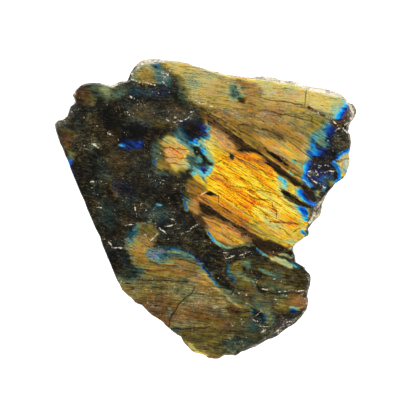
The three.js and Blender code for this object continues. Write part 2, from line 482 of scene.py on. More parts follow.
def paint_patches(rows):
    """Paint each row of a table: tone, flash, glow, edge, corners and, where there is one, the fringe."""
    for tone, flash, glow, *shape in rows:
        draw.patch(*shape, **painted(tone, flash, glow))
    print("patches painted:", len(rows))


def paint_lines(rows, paper="ragged"):
    """Put each row of a table aside: tone, flash, glow, width, edge and corners, and its paper."""
    THIN_LINES.extend((paper, *row) for row in rows)
    print("lines put aside:", len(rows))


def draw_rows(brush, rows):
    """Draw each row of a table with one brush."""
    for row in rows:
        brush(*row)


draw.layers["tone"][:], draw.layers["flash"][:] = 0.25, 0.1
paint_patches([
    # Olive and brown in the left corner.
    (0.37, KEEP, KEEP, 14, "56,120 72,114 92,122 100,138 94,152 76,150 62,138"),
    (0.24, 0.80, 0.20, 6, "76,90 86,84 95,87 98,97 92,105 80,104 74,98"),
    (0.42, 0.66, 0.24, 4, "85,97 92,96 95,101 90,105 84,103"),
    (0.36, 0.86, 0.16, 3, "80,90 90,90 92,94 82,96"),
    (0.12, KEEP, 0.06, 3, "97,100 104,99 106,105 99,107"),
    (0.50, KEEP, 0.06, 3, "53,122 57,119 63,119 62,124 58,129 54,129"),
    (0.40, 0.92, 0.22, 6, "58,128 66,128 72,138 70,146 63,142"),
    (0.28, 0.40, 0.20, 6, "54,128 66,124 78,132 74,137 60,134"),
    # Dull clouds of olive, brown and blue-green between darker hollows, from the top lobe down.
    (0.36, 0.66, 0.14, 9, "126,108 146,104 158,112 154,122 140,126 126,120"),
    (0.35, 0.66, 0.20, 6, "140,122 158,118 178,122 176,128 156,127 142,128"),
    (0.38, 0.70, 0.13, 8, "168,104 186,106 200,110 200,122 184,126 168,120"),
    (0.20, KEEP, KEEP, 8, "172,86 188,84 196,94 190,106 176,104"),
    (0.14, KEEP, KEEP, 10, "100,104 124,108 122,128 104,124"),
    (0.11, 0.10, 0.12, 8, "113,128 128,125 146,128 146,138 126,140 113,137"),
    (0.31, 0.74, 0.12, 10, "100,132 114,132 118,148 134,154 138,168 120,172 104,166"),
    (0.28, 0.38, 0.17, 10, "98,162 108,172 124,186 138,200 128,206 112,194 100,176"),
    (0.26, 0.38, 0.14, 12, "96,196 116,206 120,224 106,232 98,214"),
    (0.40, 0.93, 0.20, 5, "110,187 118,186 123,190 118,193 111,191"),
    (0.12, 0.09, 0.22, 7, "118,182 130,184 138,190 128,193 118,188"),
    (0.14, KEEP, KEEP, 12, "146,184 176,188 186,198 166,206 146,200"),
    (0.14, 0.10, 0.24, 6, "182,192 190,192 196,198 190,203 183,199"),
    (0.30, 0.36, 0.19, 8, "141,214 150,207 162,206 172,212 170,220 152,221"),
    (0.34, KEEP, KEEP, 9, "176,232 196,236 212,236 216,250 206,262 192,252"),
    (0.19, KEEP, KEEP, 8, "96,238 118,240 124,262 118,282 104,264"),
    (0.16, 0.30, 0.10, 7, "124,252 134,256 136,268 128,272 120,262"),
    (0.28, 0.32, 0.19, 7, "124,90 140,87 158,87 170,88 168,96 146,97 128,96"),
    (0.16, 0.16, 0.20, 5, "156,88 166,87 168,93 158,94"),
    (0.50, KEEP, KEEP, 3, "86,142 92,141 100,147 98,150 90,147"),
])

# %% Paint the small flashes on the left
paint_patches([
    # The pale green spot under the ragged top edge.
    (0.38, 0.42, 0.34, 6, "91,85 104,83 120,85 127,92 120,99 106,101 97,94"),
    (0.66, 0.46, 0.50, 4, "98,87 104,85 110,90 108,96 101,93"),
    # The lobe at the top left: sage green, tan in its middle, with a blue run on its right.
    (0.66, 0.49, 0.42, 3, "130,80 134,68 142,61 154,60 163,65 166,76 158,84 146,84 134,82"),
    (0.80, 0.45, 0.42, 6, "134,67 140,61 152,61 156,68 146,72 136,74"),
    (0.60, 0.67, 0.34, 7, "142,74 150,70 158,74 156,82 146,82"),
    (0.38, 0.26, 0.50, 3, "154,65 160,63 168,66 166,70 158,69"),
    (0.40, 0.36, 0.34, 5, "156,70 164,68 172,74 168,86 160,82"),
    (0.40, 0.46, 0.38, 6, "170,70 180,74 188,84 194,96 190,106 182,98 178,86"),
    # The cobalt patch, dark above.
    (0.07, KEEP, 0.04, 4, "117,130 126,128 140,129 146,134 136,140 124,150 118,142"),
    (0.13, 0.125, 0.62, 3, "123,140 131,140.5 143,141 144,147 136,150 125,150"),
    (0.13, 0.155, 0.88, 2, "131,142.4 142,142 142.5,147 134,147.6"),
    # The flashes along the straight left edge.
    (0.38, 0.90, 0.26, 5, "60,134 68,136 70,147 64,147"),
    (0.42, 0.50, 0.42, 4, "64,150 69,149 74,154 72,158 67,157"),
    (KEEP, 0.25, 0.85, 2, "67,159 71,159 72,164 69,166"),
    (0.16, 0.12, 0.34, 4, "69,166 73,166 77,176 78,184 75,182 71,173"),
])
paint_lines([
    (0.60, 0.38, 0.9, 0.7, 1.0, "156.4,204.8 162.8,206.6"),
    (0.60, 0.29, 0.8, 1.6, 1.4, "122,145 125,147.4"),
])

# %% [markdown]
# ## The gold band along the top
#
# Here the film shows yellow, olive and brown-gold, a little dulled by the rock. It is split lengthwise
# by cleavage cracks that run down to the right.

# %% Paint the top band
paint_patches([
    (0.80, 0.68, 0.48, 3, "158,56 190,60 214,68 256,74 300,81 338,90 348,98 344,110 335,119 331,126 322,132 "
        "314,138 309,147 312,158 318,163 304,172 312,186 296,180 272,160 246,140 226,122 208,111 196,106 "
        "190,98 187,88 180,76 168,68", 1),
    (0.90, 0.58, 0.60, 5, "160,57 182,58 196,63 206,68 190,73 176,72 168,66"),
    (0.85, 0.62, 0.5, 4, "180,63 188,64 190,74 182,74"),
    (0.85, 0.50, 0.55, 7, "188,74 204,72 220,78 224,90 212,96 198,92 190,84"),
    (0.76, 0.68, 0.56, 8, "204,90 226,84 240,90 244,104 228,108 208,104"),
    (0.70, 0.66, 0.46, 7, "196,100 216,103 236,108 232,116 212,112 200,108"),
    (0.98, 0.60, 0.64, 4, "262,82 286,83 306,87 330,94 344,98 341,108 330,112 316,110 300,103 264,97"),
    (0.95, 0.56, 0.8, 4, "327,98 344,98 342,105 332,109"),
    (0.90, 0.71, 0.56, 6, "276,88 290,89 300,93 292,99 280,97"),
    (0.66, 0.74, 0.46, 8, "240,84 252,86 262,92 262,110 252,122 238,114 246,100"),
    (0.74, 0.69, 0.54, 7, "262,98 288,104 306,108 318,118 300,118 276,110 260,106"),
    (0.68, 0.80, 0.48, 6, "266,112 278,110 288,116 284,126 270,126"),
    (0.68, 0.68, 0.46, 8, "290,112 312,116 330,122 318,130 306,142 296,134 286,124"),
    (0.42, 0.63, 0.48, 6, "308,118 320,118 328,124 318,131 309,130"),
    (0.60, 0.72, 0.50, 6, "262,124 288,126 304,140 298,146 284,138 264,132"),
    # The ground between the splits: brown, then bright orange toward the right.
    (0.50, 0.73, 0.50, 4, "212,110 228,116 246,124 260,134 262,142 250,138 236,130 222,120"),
    (0.80, 0.73, 0.72, 4, "256,139 270,138 284,141 296,147 303,156 308,166 298,164 284,154 270,147"),
    (1.00, 0.70, 0.80, 5, "276,147 286,147 296,155 294,160 284,154"),
    (0.45, 0.52, 0.62, 3, "292,163 302,162 312,160 308,170 300,174"),
    (0.28, 0.64, 0.2, 4, "192,104 204,106 212,112 212,122 202,120 196,112"),
    # The teal spot with its black pits, and the glassy pit beside it.
    (0.40, 0.42, 0.36, 4, "231,87 236,86 239,92 238,98 233,97 231,92"),
    (0.10, KEEP, 0.15, 2, "239,96 245,97 247,101 243,104 239,102"),
])
paint_lines([
    (0.98, 0.60, 0.80, 2.6, 2.4, "206,69.4 220,72.6 234,76 250,80 262,83"),
    (0.60, 0.76, 0.50, 1.2, 2, "236,80.6 246,84 256,86"),
    (0.98, 0.58, 0.80, 2.4, 2.4, "262,84 286,85 304,88.6 330,95.4 342,99"),
])

# %% [markdown]
# ## The gold panel
#
# The brightest flash fills the middle: clear gold with orange veins, yellow-green toward the right. It
# is cut off above by black wedges where the stone cleaved below the polish, and it ends on the right in
# a narrow run of cyan and blue, as the film thins.

# %% Paint the gold panel
paint_patches([
    # A brown ground, so that the wedges' borders run through brown.
    (0.28, 0.74, 0.46, 4, "204,116 222,118 244,134 264,146 284,160 300,174 314,192 313,205 308,222 300,243 "
        "286,250 268,250 244,240 214,226 198,212 190,196 186,180 196,168 212,160 206,146 202,130"),
    (1.00, 0.80, 0.76, 5, "206,122 216,127 226,135 232,142 237,151 230,154 218,148 208,142 203,134"),
    (0.60, 0.72, 0.46, 3, "206,113 214,117 226,124 240,134 252,143 264,152 260,146 244,133 228,121 214,112"),
    (0.60, 0.67, 0.93, 3, "202,141 212,141 220,147 228,153 232,159 224,161 214,164 209,157 206,148", 1),
    (0.50, 0.745, 0.98, 2.5, "190,172 198,167 210,166 218,162 232,158 236,153 248,152 262,156 272,165 "
        "278,173 288,181 297,190 301,200 305,210 308,222 305,232 300,241 293,248 284,241 264,227 244,214 "
        "222,199 206,189 192,178", 0.5),
    (0.40, 0.82, 0.97, 5, "236,154 256,154 272,166 282,178 272,178 256,170 240,160"),
    (0.40, 0.80, 0.97, 6, "210,178 222,182 240,194 256,206 248,208 228,198 212,188"),
    (0.60, 0.68, 0.99, 6, "222,166 236,168 250,176 258,186 244,184 228,176"),
    (0.60, 0.70, 0.98, 5, "206,182 222,188 240,200 232,202 216,194"),
    (1.00, 0.59, 0.94, 8, "264,196 284,202 300,208 302,232 294,243 278,233 258,215"),
    (1.00, 0.60, 0.93, 6, "280,192 294,196 300,204 290,206 278,200"),
    (0.70, 0.77, 0.92, 3, "284,213 294,215 300,222 290,223 282,219"),
    (1.00, 0.565, 0.80, 7, "266,222 280,222 290,236 284,242 262,230"),
    (0.70, 0.55, 0.85, 4, "292,240 300,232 303,238 296,246"),
    (0.80, 0.72, 0.86, 4, "280,232 290,231 294,238 286,240"),
    (0.80, 0.68, 0.88, 4, "294,224 306,224 304,234 294,233"),
    (0.70, 0.66, 0.86, 5, "190,173 198,169 206,172 204,180 196,180"),
    # Below the light line the panel is browner, down to the dark band.
    (0.36, 0.86, 0.80, 2.5, "206,191 220,199 244,213 268,229 292,248 280,246 256,234 232,222 212,208 200,202 "
        "197,197"),
    (0.45, 0.80, 0.93, 3, "207,196 218,198 230,205 242,214 234,214 220,207 209,201"),
    (0.45, 0.85, 0.92, 4, "228,206 240,213 252,222 246,222 232,214"),
    (0.60, 0.62, 0.72, 4, "254,222 268,231 284,243 276,243 260,233 250,225"),
    (0.44, 0.74, 0.44, 3, "188,176 202,184 208,191 198,196 186,193 184,184", 1),
    (0.70, 0.78, 0.50, 3, "186,200 194,197 198,202 200,212 194,216 187,210", 0.5),
    (0.80, 0.81, 0.78, 3, "201,216 214,218 228,224 240,230 249,237 250,243 236,246 224,244 213,236 "
        "206,228", 0.5),
    (0.90, 0.82, 0.84, 3, "222,222 236,228 243,235 232,235 222,229"),
    (0.60, 0.70, 0.86, 2, "218,231 228,234 238,240 244,243 232,242"),
])
# Orange veins, and broader yellow ones, drawn when the colours have run together.
ORANGE_VEINS = [
    "216,166 234,176 250,190 262,200", "206,184 226,194 246,208", "236,160 252,166 266,178",
    "224,180 244,192 262,206", "240,191.4 250,193 258,196.3", "244,195.6 254,197.5 264,200.5",
    "226,199 240,206 256,218 270,230", "270,221.5 284,222 299,224", "226,168 240,175",
    "212,170 222,182 230,196", "252,172 266,184 280,198", "268,206 280,216 292,230",
]
YELLOW_VEINS = [
    "222,172 242,186 264,204", "246,160 262,172 276,184", "214,186 232,198", "232,166 244,172",
    "218,162 226,168 240,172", "234,182 252,195 270,210", "212,190 230,203 248,215 270,231 288,244",
    "262,200 280,210 298,216",
]

# %% [markdown]
# ## Dark wedges and bright ridges
#
# Where the cleavage dips below the polish, a wedge of the gold goes dark, and the dark is painted as shade.
# Its upper side is sharp and it fades downward, so a wedge is a patch of painted shade with thin painted
# shadows along it: dark lines with a soft side.
# Between two wedges the edge of the film catches the light as a thin cream ridge.

# %% Paint the dark wedges and bands in the gold
# Patches of painted shade, where the gold goes dark.
draw_rows(draw.smoke, [
    # The long wedge above the panel: dark olive, black only along its foot.
    (0.66, 3.0, "206,118 214,119.5 222,124.9 228.3,129.3 234.6,134.4 244.2,141.5 253.8,147.8 263,153.6 "
        "254,152.9 243,151 237,149 234,144 230,140.5 225,135 216,129 208,125"),
    (0.90, 2.5, "228,131 236,136.5 246,143.5 256,150 262,154 252,152.5 242,150 236,144 231,138"),
    (1.00, 1.4, "237,150.4 240,148 246,149.5 254,150 263.5,154.2 263,155.6 253.8,153 243,151.2"),
    (0.55, 4.0, "204,127 214,128 226,136 220,137 208,132"),
    (0.80, 1.6, "206,116 212,118 222,124 229,129 224,128 214,122"),
    # The wedge beside it on the right, and the thin one that runs on from it.
    (1.00, 1.3, "263.9,146.4 270,150.4 275.6,153.7 283,160 290,165.8 289,167.6 282.6,164.2 275,158.7 270,156 "
        "266.4,152"),
    (0.80, 1.2, "287,165.6 293,169 300,173.6 304,176.6 297,173.6 290,169"),
    # The band below the cream ridge.
    (0.95, 1.5, "262.5,155 266.4,157 276,164 284,170 290,174.6 300,181.4 309,188.4 315,193 318,200 313,203 "
        "308,197 303,192 301,187 295,186 290.5,183 287,178.5 283,175.8 278,173.4 273,169 267.5,163.6 "
        "264.8,158"),
    (0.50, 4.0, "254,157 264,158 271,167 262,163"),
    # The wedge in the panel's right half, brown along its foot.
    (0.94, 1.4, "280,186.4 288.6,190.9 295,195.2 300,200 307,203 313,206.4 311,209 300,206 290,201.6 "
        "284,197.8 282,192.3"),
    # The black mouth at the panel's lower left.
    (0.95, 1.3, "204,194.5 207,192 210,191 214,193.2 219,196.3 214,195.8 209,195.4"),
    # The big lower band: black on the left and at its right end, brown and combed between.
    (0.92, 2.5, "198.5,200.8 205,203.6 214,208.6 223,214.8 232,220.6 228,223 218,218.4 209,215.6 202,214.6"),
    (0.80, 3.0, "226,216 236,222.5 246,228.5 256,234 264,240 254,241 244,234 232,227"),
    (0.93, 3.0, "250,238 258,238 263,240 270,239.4 276,242.2 283,246.1 288.3,249.2 292.5,250.6 285.5,251.5 "
        "275.7,253.8 265.2,251.7 258,249.6 253,245"),
    (0.50, 3.0, "200,198 208,199 222,206 240,217.5 256,227 270,236 262,236 244,226 226,214.5 212,206 "
        "202,201"),
    (0.55, 3.0, "240,232 248,236 252,244 244,244 240,238"),
    # The dark patches of painted shade under the top band.
    (0.80, 3.0, "272,133 278,132.6 283,135 285.5,140 280,139.5 274,137"),
    (0.50, 4.0, "260,132 270,132 276,136 272,138.5 262,137"),
    (0.36, 4.0, "236,123 248,124 258,128 252,134 240,130"),
    (0.36, 5.0, "262,126 276,128 290,134 286,140 268,134"),
    # The dark streak under the crescent, and the grey band left of the lower gold.
    (0.92, 1.8, "306,105 310,106.4 314,109 320,112 327,115.8 334,120.4 336,124 333,124 326,118.8 318,114.4 "
        "312,110.6 308,107.4"),
    (0.95, 1.5, "331,122 339.6,124.8 341.6,127 337.5,129.4 333,126.4"),
    (0.55, 3.0, "336,121 340,121 345,112 352,107 353,117 347,123 341,126"),
    (0.50, 3.0, "315,109 322,109 329,115 324,116"),
    (0.72, 3.0, "192,212 201,216 206,222 212,229 206,230 196,222"),
])
# Painted shadows: the soft sides of the wedges, and the dark combing of the gold.
draw_rows(draw.shadow, [
    (0.9, 0.8, 3.5, "208,116.5 222,124.9 234.6,134.4 244.2,141.5 254,148 263.3,153.6"),
    (0.75, 1.2, 3.0, "205,197.7 214,202 223,207.5 234,214.5 245.5,220.9 256,226"),
    (0.70, 3.0, 1.5, "222.5,147.2 227,151 231.5,154.2"),
    (0.62, 1.5, 3.0, "234.6,157.4 244.8,161.9 252,166.4 259.5,170.8"),
    (0.6, 1.0, 3.0, "211.7,114 224,120 235.9,127.4 246,134"),
    (0.6, 2.0, 2.0, "206,142 216,147 226,152"),
    (0.7, 1.0, 2.0, "204,125.5 212,128 222,133 228,139"),
    (0.55, 1.0, 2.0, "226,232 234,236 242,240"),
    (0.6, 1.2, 2.4, "214,230 222,234 230,239 236,244"),
    (0.45, 1.0, 2.5, "296,196 288,197 276,192 264,186"),
    (0.9, 1.2, 2.6, "246,123 256,126 266,129.6 276,134 286,141.5"),
    (0.8, 1.2, 2.2, "250,129.4 262,133 272,137 280,139.6"),
    (0.6, 1.0, 2.0, "228,120 240,123.6 252,130"),
    (0.7, 1.2, 2.6, "206,129 216,134 226,141 233,148"),
    (0.6, 1.0, 2.4, "204,134 213,138 222,145"),
    (0.5, 1.0, 2.0, "214,126 224,132 232,139"),
    (0.8, 1.6, 2.0, "236,148 243,151 252,152.6"),
    (0.5, 1.5, 2.5, "238,113 250,116 262,119 276,123"),
    (0.9, 1.0, 1.4, "292,102.6 300,104.4 307,107 314,110.6 322,115 330,120"),
    (0.8, 2.5, 1.5, "206,217 216,220 228,226 240,232"),
    (0.6, 1.0, 2.2, "208,222 216,226 226,231 236,236"),
    (0.5, 1.0, 2.2, "212,228 220,233 228,238"),
    (0.5, 0.8, 1.8, "226,159 236,163 246,169"),
    (0.45, 0.8, 1.8, "240,166 252,172 266,180"),
    (0.45, 0.8, 1.8, "212,176 226,181 240,189"),
    (0.5, 0.8, 1.6, "254,158 264,164 272,172"),
    (0.45, 0.8, 1.8, "230,204 244,211 260,222"),
    (0.45, 0.8, 1.6, "262,206 274,212 288,220"),
    (0.45, 1.0, 3.0, "226,100 240,104 256,110 268,112"),
    (0.5, 1.0, 3.0, "210,108 224,111 240,118 252,122"),
    (0.4, 1.0, 3.0, "262,118 280,121 296,127 308,136"),
    (0.5, 1.0, 2.0, "290,134 300,142 309,149 318,158"),
])
# The two black chips, at the top of the panel and at its lower left.
draw.wedge("229.8,154 234,154.4 235,159.6 230.6,159.8")
draw.wedge("205.5,193.6 209.4,190.8 218,195.8 213,195 208.5,194.8")
# Fine splits through the cobalt patch, the gold and the lower lobe.
SPLITS = [
    "125,144.4 129,146 134,145.4", "131,141.6 132.6,148", "137,143 139,146.6 143,147",
    "222,163 230,166 236,170", "246,158.4 254,161 262,166", "262,170 268,175 273,180",
    "214,172 221,175.4 228,180", "226,187 234,191 241,197", "252,204 260,209 268,216",
    "282,200 289,204 297,207", "276,226 284,230 290,236", "250,176 258,180 264,186",
    "206,220 214,223 220,227", "228,228 236,231.6 243,237", "236,206 243,210 249,216",
    "215,163.2 220,161.2 225,158.6 229.5,157.4", "258,128.5 266,130 276,133", "210,113 218,118 226,123",
    "163,254 178,258 192,261.5 206,265 214,269", "192,276 202,278 212,284", "242,299 250,303 256,307",
    "262,290 272,293 284,293 296,293 309,293", "272,307 280,313 286,319", "160,147 172,148 188,150",
    "166,157 178,158 188,158.5", "170,163 184,165", "237,124.5 248,125.5 255,128",
    "233,129.5 240,131 252,136", "208,116 214,120 222,125", "339,162.7 344,160 350,157.3",
    "170,257.6 182,260 194,263.4 200,266", "150,262 162,265 176,266", "184,270 194,272 204,276",
]
for split in SPLITS:
    draw.hair("crack", 0.8, split)

# %% Draw the light ridges between the wedges
GLEAMS = [
    (0.8, "209,111.5 216,115 224.4,120.4 232,127 239.7,132"),
    (0.6, "214,119.8 224,125.8 236,134.8 246,142 256,148.6 263.1,153"),
    (1.0, "263.1,153.3 269,157.4 275.6,162 283.2,168 289.7,172.8 300,179.9 309.2,186.9"),
    (0.9, "291,169.6 297,173 304,178"),
    (0.7, "293,176.4 299,177.6 304,181"),
    (0.7, "194,178 202,184.6 211.8,190 221,197 230,203.3 247,214.6 255.3,220.2 272,232 288.3,243.3"),
    (0.7, "199.2,198.8 210,206 223,215.3 232,221.5 240,227 250,232.5"),
    (0.6, "207,197.5 216,201 224,206.5 238,214"),
    (0.5, "244,222 256,229 270,238"),
    (0.5, "240,224 254,232.5 264,239"),
    (0.6, "220,232.4 230,238 238,243.4"),
    (0.5, "208,170 222,179 236,190"),
    (0.6, "214,166 228,176 246,187.6 256,196"),
    (0.5, "268,196 280,200 294,207"),
    (0.6, "195,101 202,104 210,105.6 217,107"),
]
for bright, gleam in GLEAMS:
    draw.hair("gleam", bright, gleam)
# The panel's own yellow and green, where it ends on the right between the wedges.
paint_patches([
    (0.80, 0.62, 0.90, 2.5, "288,180 296,187 299,193 292,191 287,186"),
    (0.85, 0.50, 0.85, 3, "275,176 280,178 286,184 284,188 278,182"),
    (0.80, 0.50, 0.85, 3, "294,207 300,207 304,216 302,220 297,214"),
])

# %% [markdown]
# ## The right-hand corner
#
# The dark corner on the right is bordered by the strongest blues: the film's thinnest colours.

# %% Paint the right-hand corner
paint_patches([
    (0.22, 0.10, 0.06, 3, "333,121 342,124 354,134 354,150 344,158 334,164 340,176 330,190 322,202 312,206 "
        "306,190 304,176 312,162 322,146 326,132"),
    # From khaki through green and teal to azure and navy, going right.
    (0.62, 0.52, 0.50, 4, "306,147 310,138 318,130 328,123 332,123 330,131 322,138 314,146 310,156"),
    (0.50, 0.42, 0.66, 4, "314,134 320,130 328,125 331,127 327,136 325,145 319,145 317,139"),
    (0.60, 0.38, 0.70, 2, "326,124.6 330,123.6 331.6,128 327.6,128.4"),
    (0.24, 0.27, 0.85, 2.4, "328,128.6 332,128 334,131 331,135 328,133"),
    (0.14, 0.15, 0.60, 4, "332,128 337,131 336,137 330,138 329,134"),
    (0.14, 0.13, 0.50, 4, "327,138 332,137 333,144 327,146"),
    (0.40, 0.34, 0.78, 3, "309,145 312,138 316,135 319,138 318,143 316,147 310,149"),
    (0.24, 0.285, 0.88, 3, "309,148 315,147 320,150 325,146 327,148 319,154 312,158 309,154"),
    (0.60, 0.43, 0.50, 3, "319,137 325,138 325,145 320,146"),
    (0.14, KEEP, 0.25, 2, "310,140.6 316,141 317,143 311,143.4"),
    (0.15, 0.11, 0.40, 4, "318,156 325,151 332,150 330,154 322,158"),
    (0.46, KEEP, 0.05, 6, "335,131 350,130 352,147 342,151 330,150 331,142"),
    # The navy field below, with brighter blue blots and a grey-brown one.
    (0.12, 0.12, 0.34, 5, "309,164 328,166 334,174 328,184 316,188 309,178"),
    (0.16, 0.165, 0.75, 2.4, "317,177 323.6,176.4 324,181 318.6,181.6"),
    (0.14, 0.15, 0.50, 2.4, "311.4,176 315.4,176 315.6,180 312,180"),
    (0.50, KEEP, 0.04, 3, "308,169.6 315,169.4 315.6,175 309,175.4"),
    (0.26, 0.12, 0.35, 3, "334,155 338,153 340,158 336,160"),
    # The flash on the right-hand point.
    (0.20, 0.18, 0.75, 1.6, "339,156 342,152 346,149.4 352,149 352,152 345,154 341,158"),
    (0.98, 0.77, 0.55, 2, "341,158 344,154.5 351,153.6 351,160 344,163 339.6,163"),
    (1.00, 0.375, 0.82, 1.6, "344,162 351,159 351,172 347,174 344,170"),
    (0.98, 0.77, 0.70, 1.6, "338.6,162.6 343,162 344,168 344.4,174 343,175 340.6,170"),
    (0.30, 0.86, 0.70, 1.6, "342,174.6 345.6,174 347,177 343.6,178.6"),
    (0.60, 0.31, 0.85, 1.6, "336.6,180 340.6,178.4 342.6,179.4 340.6,182.6 336.6,182.6"),
    (0.50, 0.72, 0.42, 2, "328.6,182 333,181.6 333.6,186 329.4,186.6"),
    (0.36, 0.42, 0.14, 2, "325,180 329,179.4 330,183 326,184"),
    (0.50, 0.27, 0.70, 1.6, "324,188.6 326.6,188.6 326.6,192.4 324,192"),
    (0.60, 0.54, 0.60, 2, "315.4,191 320,191 319.6,197 315.6,197"),
    # The pale broken shoulder below the corner, carried on down the wall.
    (0.60, KEEP, KEEP, 2, "310,202 316,199 326,204 322,232 308,232 306.4,222 309,210"),
    (0.30, 0.36, 0.60, 1.5, "312.6,192 315,192 316,203 313.6,203"),
    # The crescent under the rough knob.
    (0.16, 0.12, 0.20, 3, "346,104 352,104 352,118 344,124 338,121 340,114"),
    (0.98, 0.51, 0.78, 3, "333,108 336,100 342,98 345.6,100 343,106 338,111 335,114"),
    (0.60, 0.44, 0.70, 3, "332,113 335.6,111 337,114 335,119"),
    (0.16, 0.14, 0.75, 2.4, "347,102 350,102 350,107 345,111 342,116 340,121 337.6,119 341,113 345,107"),
])
paint_lines([
    # The crescent's pale edge and its azure middle.
    (0.20, 0.23, 1.00, 2.0, 1.3, "346.6,102 345.6,106.4 342,111 338,115.2 336.4,119"),
    (0.90, 0.33, 1.00, 1.6, 1.3, "344.8,101 343.4,105 340,109.8 336.2,114 335,117.6"),
    (1.00, 0.42, 0.95, 1.2, 1.5, "343,100.6 341.4,104.6 338.2,108.8 334.6,113"),
    (0.50, 0.87, 0.80, 1.4, 1.4, "307.6,106.6 312.4,110.4"),
    # The right-hand point's white arc and its blue border.
    (0.20, 0.24, 1.00, 2.2, 1.2, "334,163.4 336.8,166.6 339.6,172 341.2,176.6 340.4,178"),
    (1.00, 0.36, 1.00, 0.8, 1.0, "335.8,163.2 338.2,166.4 341.2,172 342.6,176"),
    # The blue ends of the gold, each with a cyan edge on its left.
    (0.20, 0.23, 0.95, 2.0, 1.4, "308.4,163.6 306.8,167 306.6,171 308,173"),
    (0.80, 0.34, 0.95, 0.8, 1.2, "307.2,163.6 305.4,167 305.2,171"),
    (0.20, 0.22, 1.00, 3.0, 1.4, "305,177 308,181.6 311,186"),
    (0.80, 0.33, 1.00, 1.2, 1.2, "303,176.6 305.4,181 308.6,185.4"),
    (0.20, 0.21, 1.00, 5.0, 1.5, "301.4,191.4 304,195.6 308,199.6 311.4,203.6"),
    (0.80, 0.31, 1.00, 2.2, 1.4, "298.6,189.6 300,193.6 303,197.6 306.6,201"),
    (0.90, 0.42, 0.90, 0.9, 1.2, "297,189.6 298,194.4 301,198.8"),
    (0.20, 0.205, 1.00, 3.6, 1.5, "302.6,207.6 304.4,211 305.4,215 306.6,219"),
    (0.90, 0.32, 1.00, 1.6, 1.3, "300,207 302,211 303.4,215 304.8,219"),
    (0.40, 0.45, 0.80, 1.6, 1.4, "301,230 303,232"),
    (0.50, 0.40, 0.80, 1.4, 1.6, "291,160.6 294,163"),
    (0.60, 0.46, 0.80, 1.6, 1.6, "297,165 301,169.6"),
    (0.60, 0.40, 0.70, 1.6, 1.6, "287.6,171.4 290,173.2 292.6,175.2"),
    (0.20, 0.23, 0.95, 2.6, 1.4, "280.6,177.6 284,179.4"),
    (0.80, 0.33, 0.95, 1.4, 1.4, "278,176.8 281,180 284.6,182"),
    (0.90, 0.36, 0.95, 3.0, 1.6, "286.4,185 287,187"),
])

# %% [markdown]
# ## The lower lobe
#
# The bottom of the slab is a broad khaki flash with fine level streaks, darker toward the right, where
# rock and dull green and blue flashes are mixed.

# %% Paint the lower lobe
paint_patches([
    (0.62, 0.72, 0.31, 4, "130,230 138,222 150,223 160,231 154,240 154,247 172,249 190,253 202,260 205,268 "
        "214,278 222,288 240,303 262,316 262,330 244,348 226,362 200,362 176,346 150,322 128,306 112,284 "
        "118,276 134,271 130,256 124,246 126,238", 1),
    (0.38, 0.58, 0.28, 5, "136,226 148,222 159,231 153,237 140,234"),
    (0.68, 0.76, 0.50, 5, "130,243 137,235 148,237 150,246 146,257 138,258 132,250", 1),
    (0.66, 0.55, 0.50, 3, "125,244 131,241 136,244 131,248"),
    (0.60, 0.74, 0.38, 5, "138,254 150,260 170,264 196,268 190,278 160,274 140,268"),
    (0.46, 0.60, 0.34, 3, "164,251.5 180,254 196,258 204,263 190,262 172,258"),
    (0.60, 0.75, 0.42, 4, "178,259 190,259 199,265 192,271 180,267"),
    (0.56, 0.62, 0.28, 9, "120,278 140,272 180,278 188,288 178,298 150,302 128,296"),
    (0.68, 0.69, 0.30, 9, "188,286 214,290 236,308 232,318 206,320 182,312"),
    (0.50, 0.82, 0.28, 6, "140,303 160,298 180,304 176,324 160,320"),
    (0.46, 0.76, 0.25, 7, "184,308 206,308 236,314 230,324 190,320"),
    (0.60, 0.60, 0.28, 6, "176,284 190,284 192,296 180,302 174,294"),
    (0.80, 0.60, 0.55, 3, "199,273 206,272 215,284 206,283"),
    (0.74, 0.75, 0.56, 4, "188,278 200,276.5 208,280 213,285 202,285 190,281"),
    (0.42, 0.62, 0.22, 6, "174,328 214,327 250,324 262,334 246,346 222,352 196,348 184,338"),
    (0.38, 0.58, 0.22, 5, "206,342 230,338 236,348 220,358 208,354"),
    (0.22, 0.44, 0.20, 8, "240,322 256,320 276,330 262,342 240,352 230,344"),
    # The blue-grey eye, with dark blotches, and the dim blues round the lobe.
    (0.70, 0.31, 0.48, 3, "148,252 156,250 165,252 163,259 153,260"),
    (0.22, 0.34, 0.30, 2.5, "158,254.6 167,253.6 169,257.6 161,258.6"),
    (0.22, 0.36, 0.26, 4, "125,237 128,229 134,226 135,234 131,240"),
    (0.26, 0.43, 0.17, 5, "117,272 130,267 140,272 134,278 120,278"),
    (0.16, KEEP, 0.12, 3, "120,270 136,273 137,277 123,278"),
    (0.22, 0.32, 0.24, 5, "158,246 176,247 192,251 202,258 196,258 176,253"),
    (0.16, 0.17, 0.24, 4, "197,256 203,257 207,263 200,262"),
])
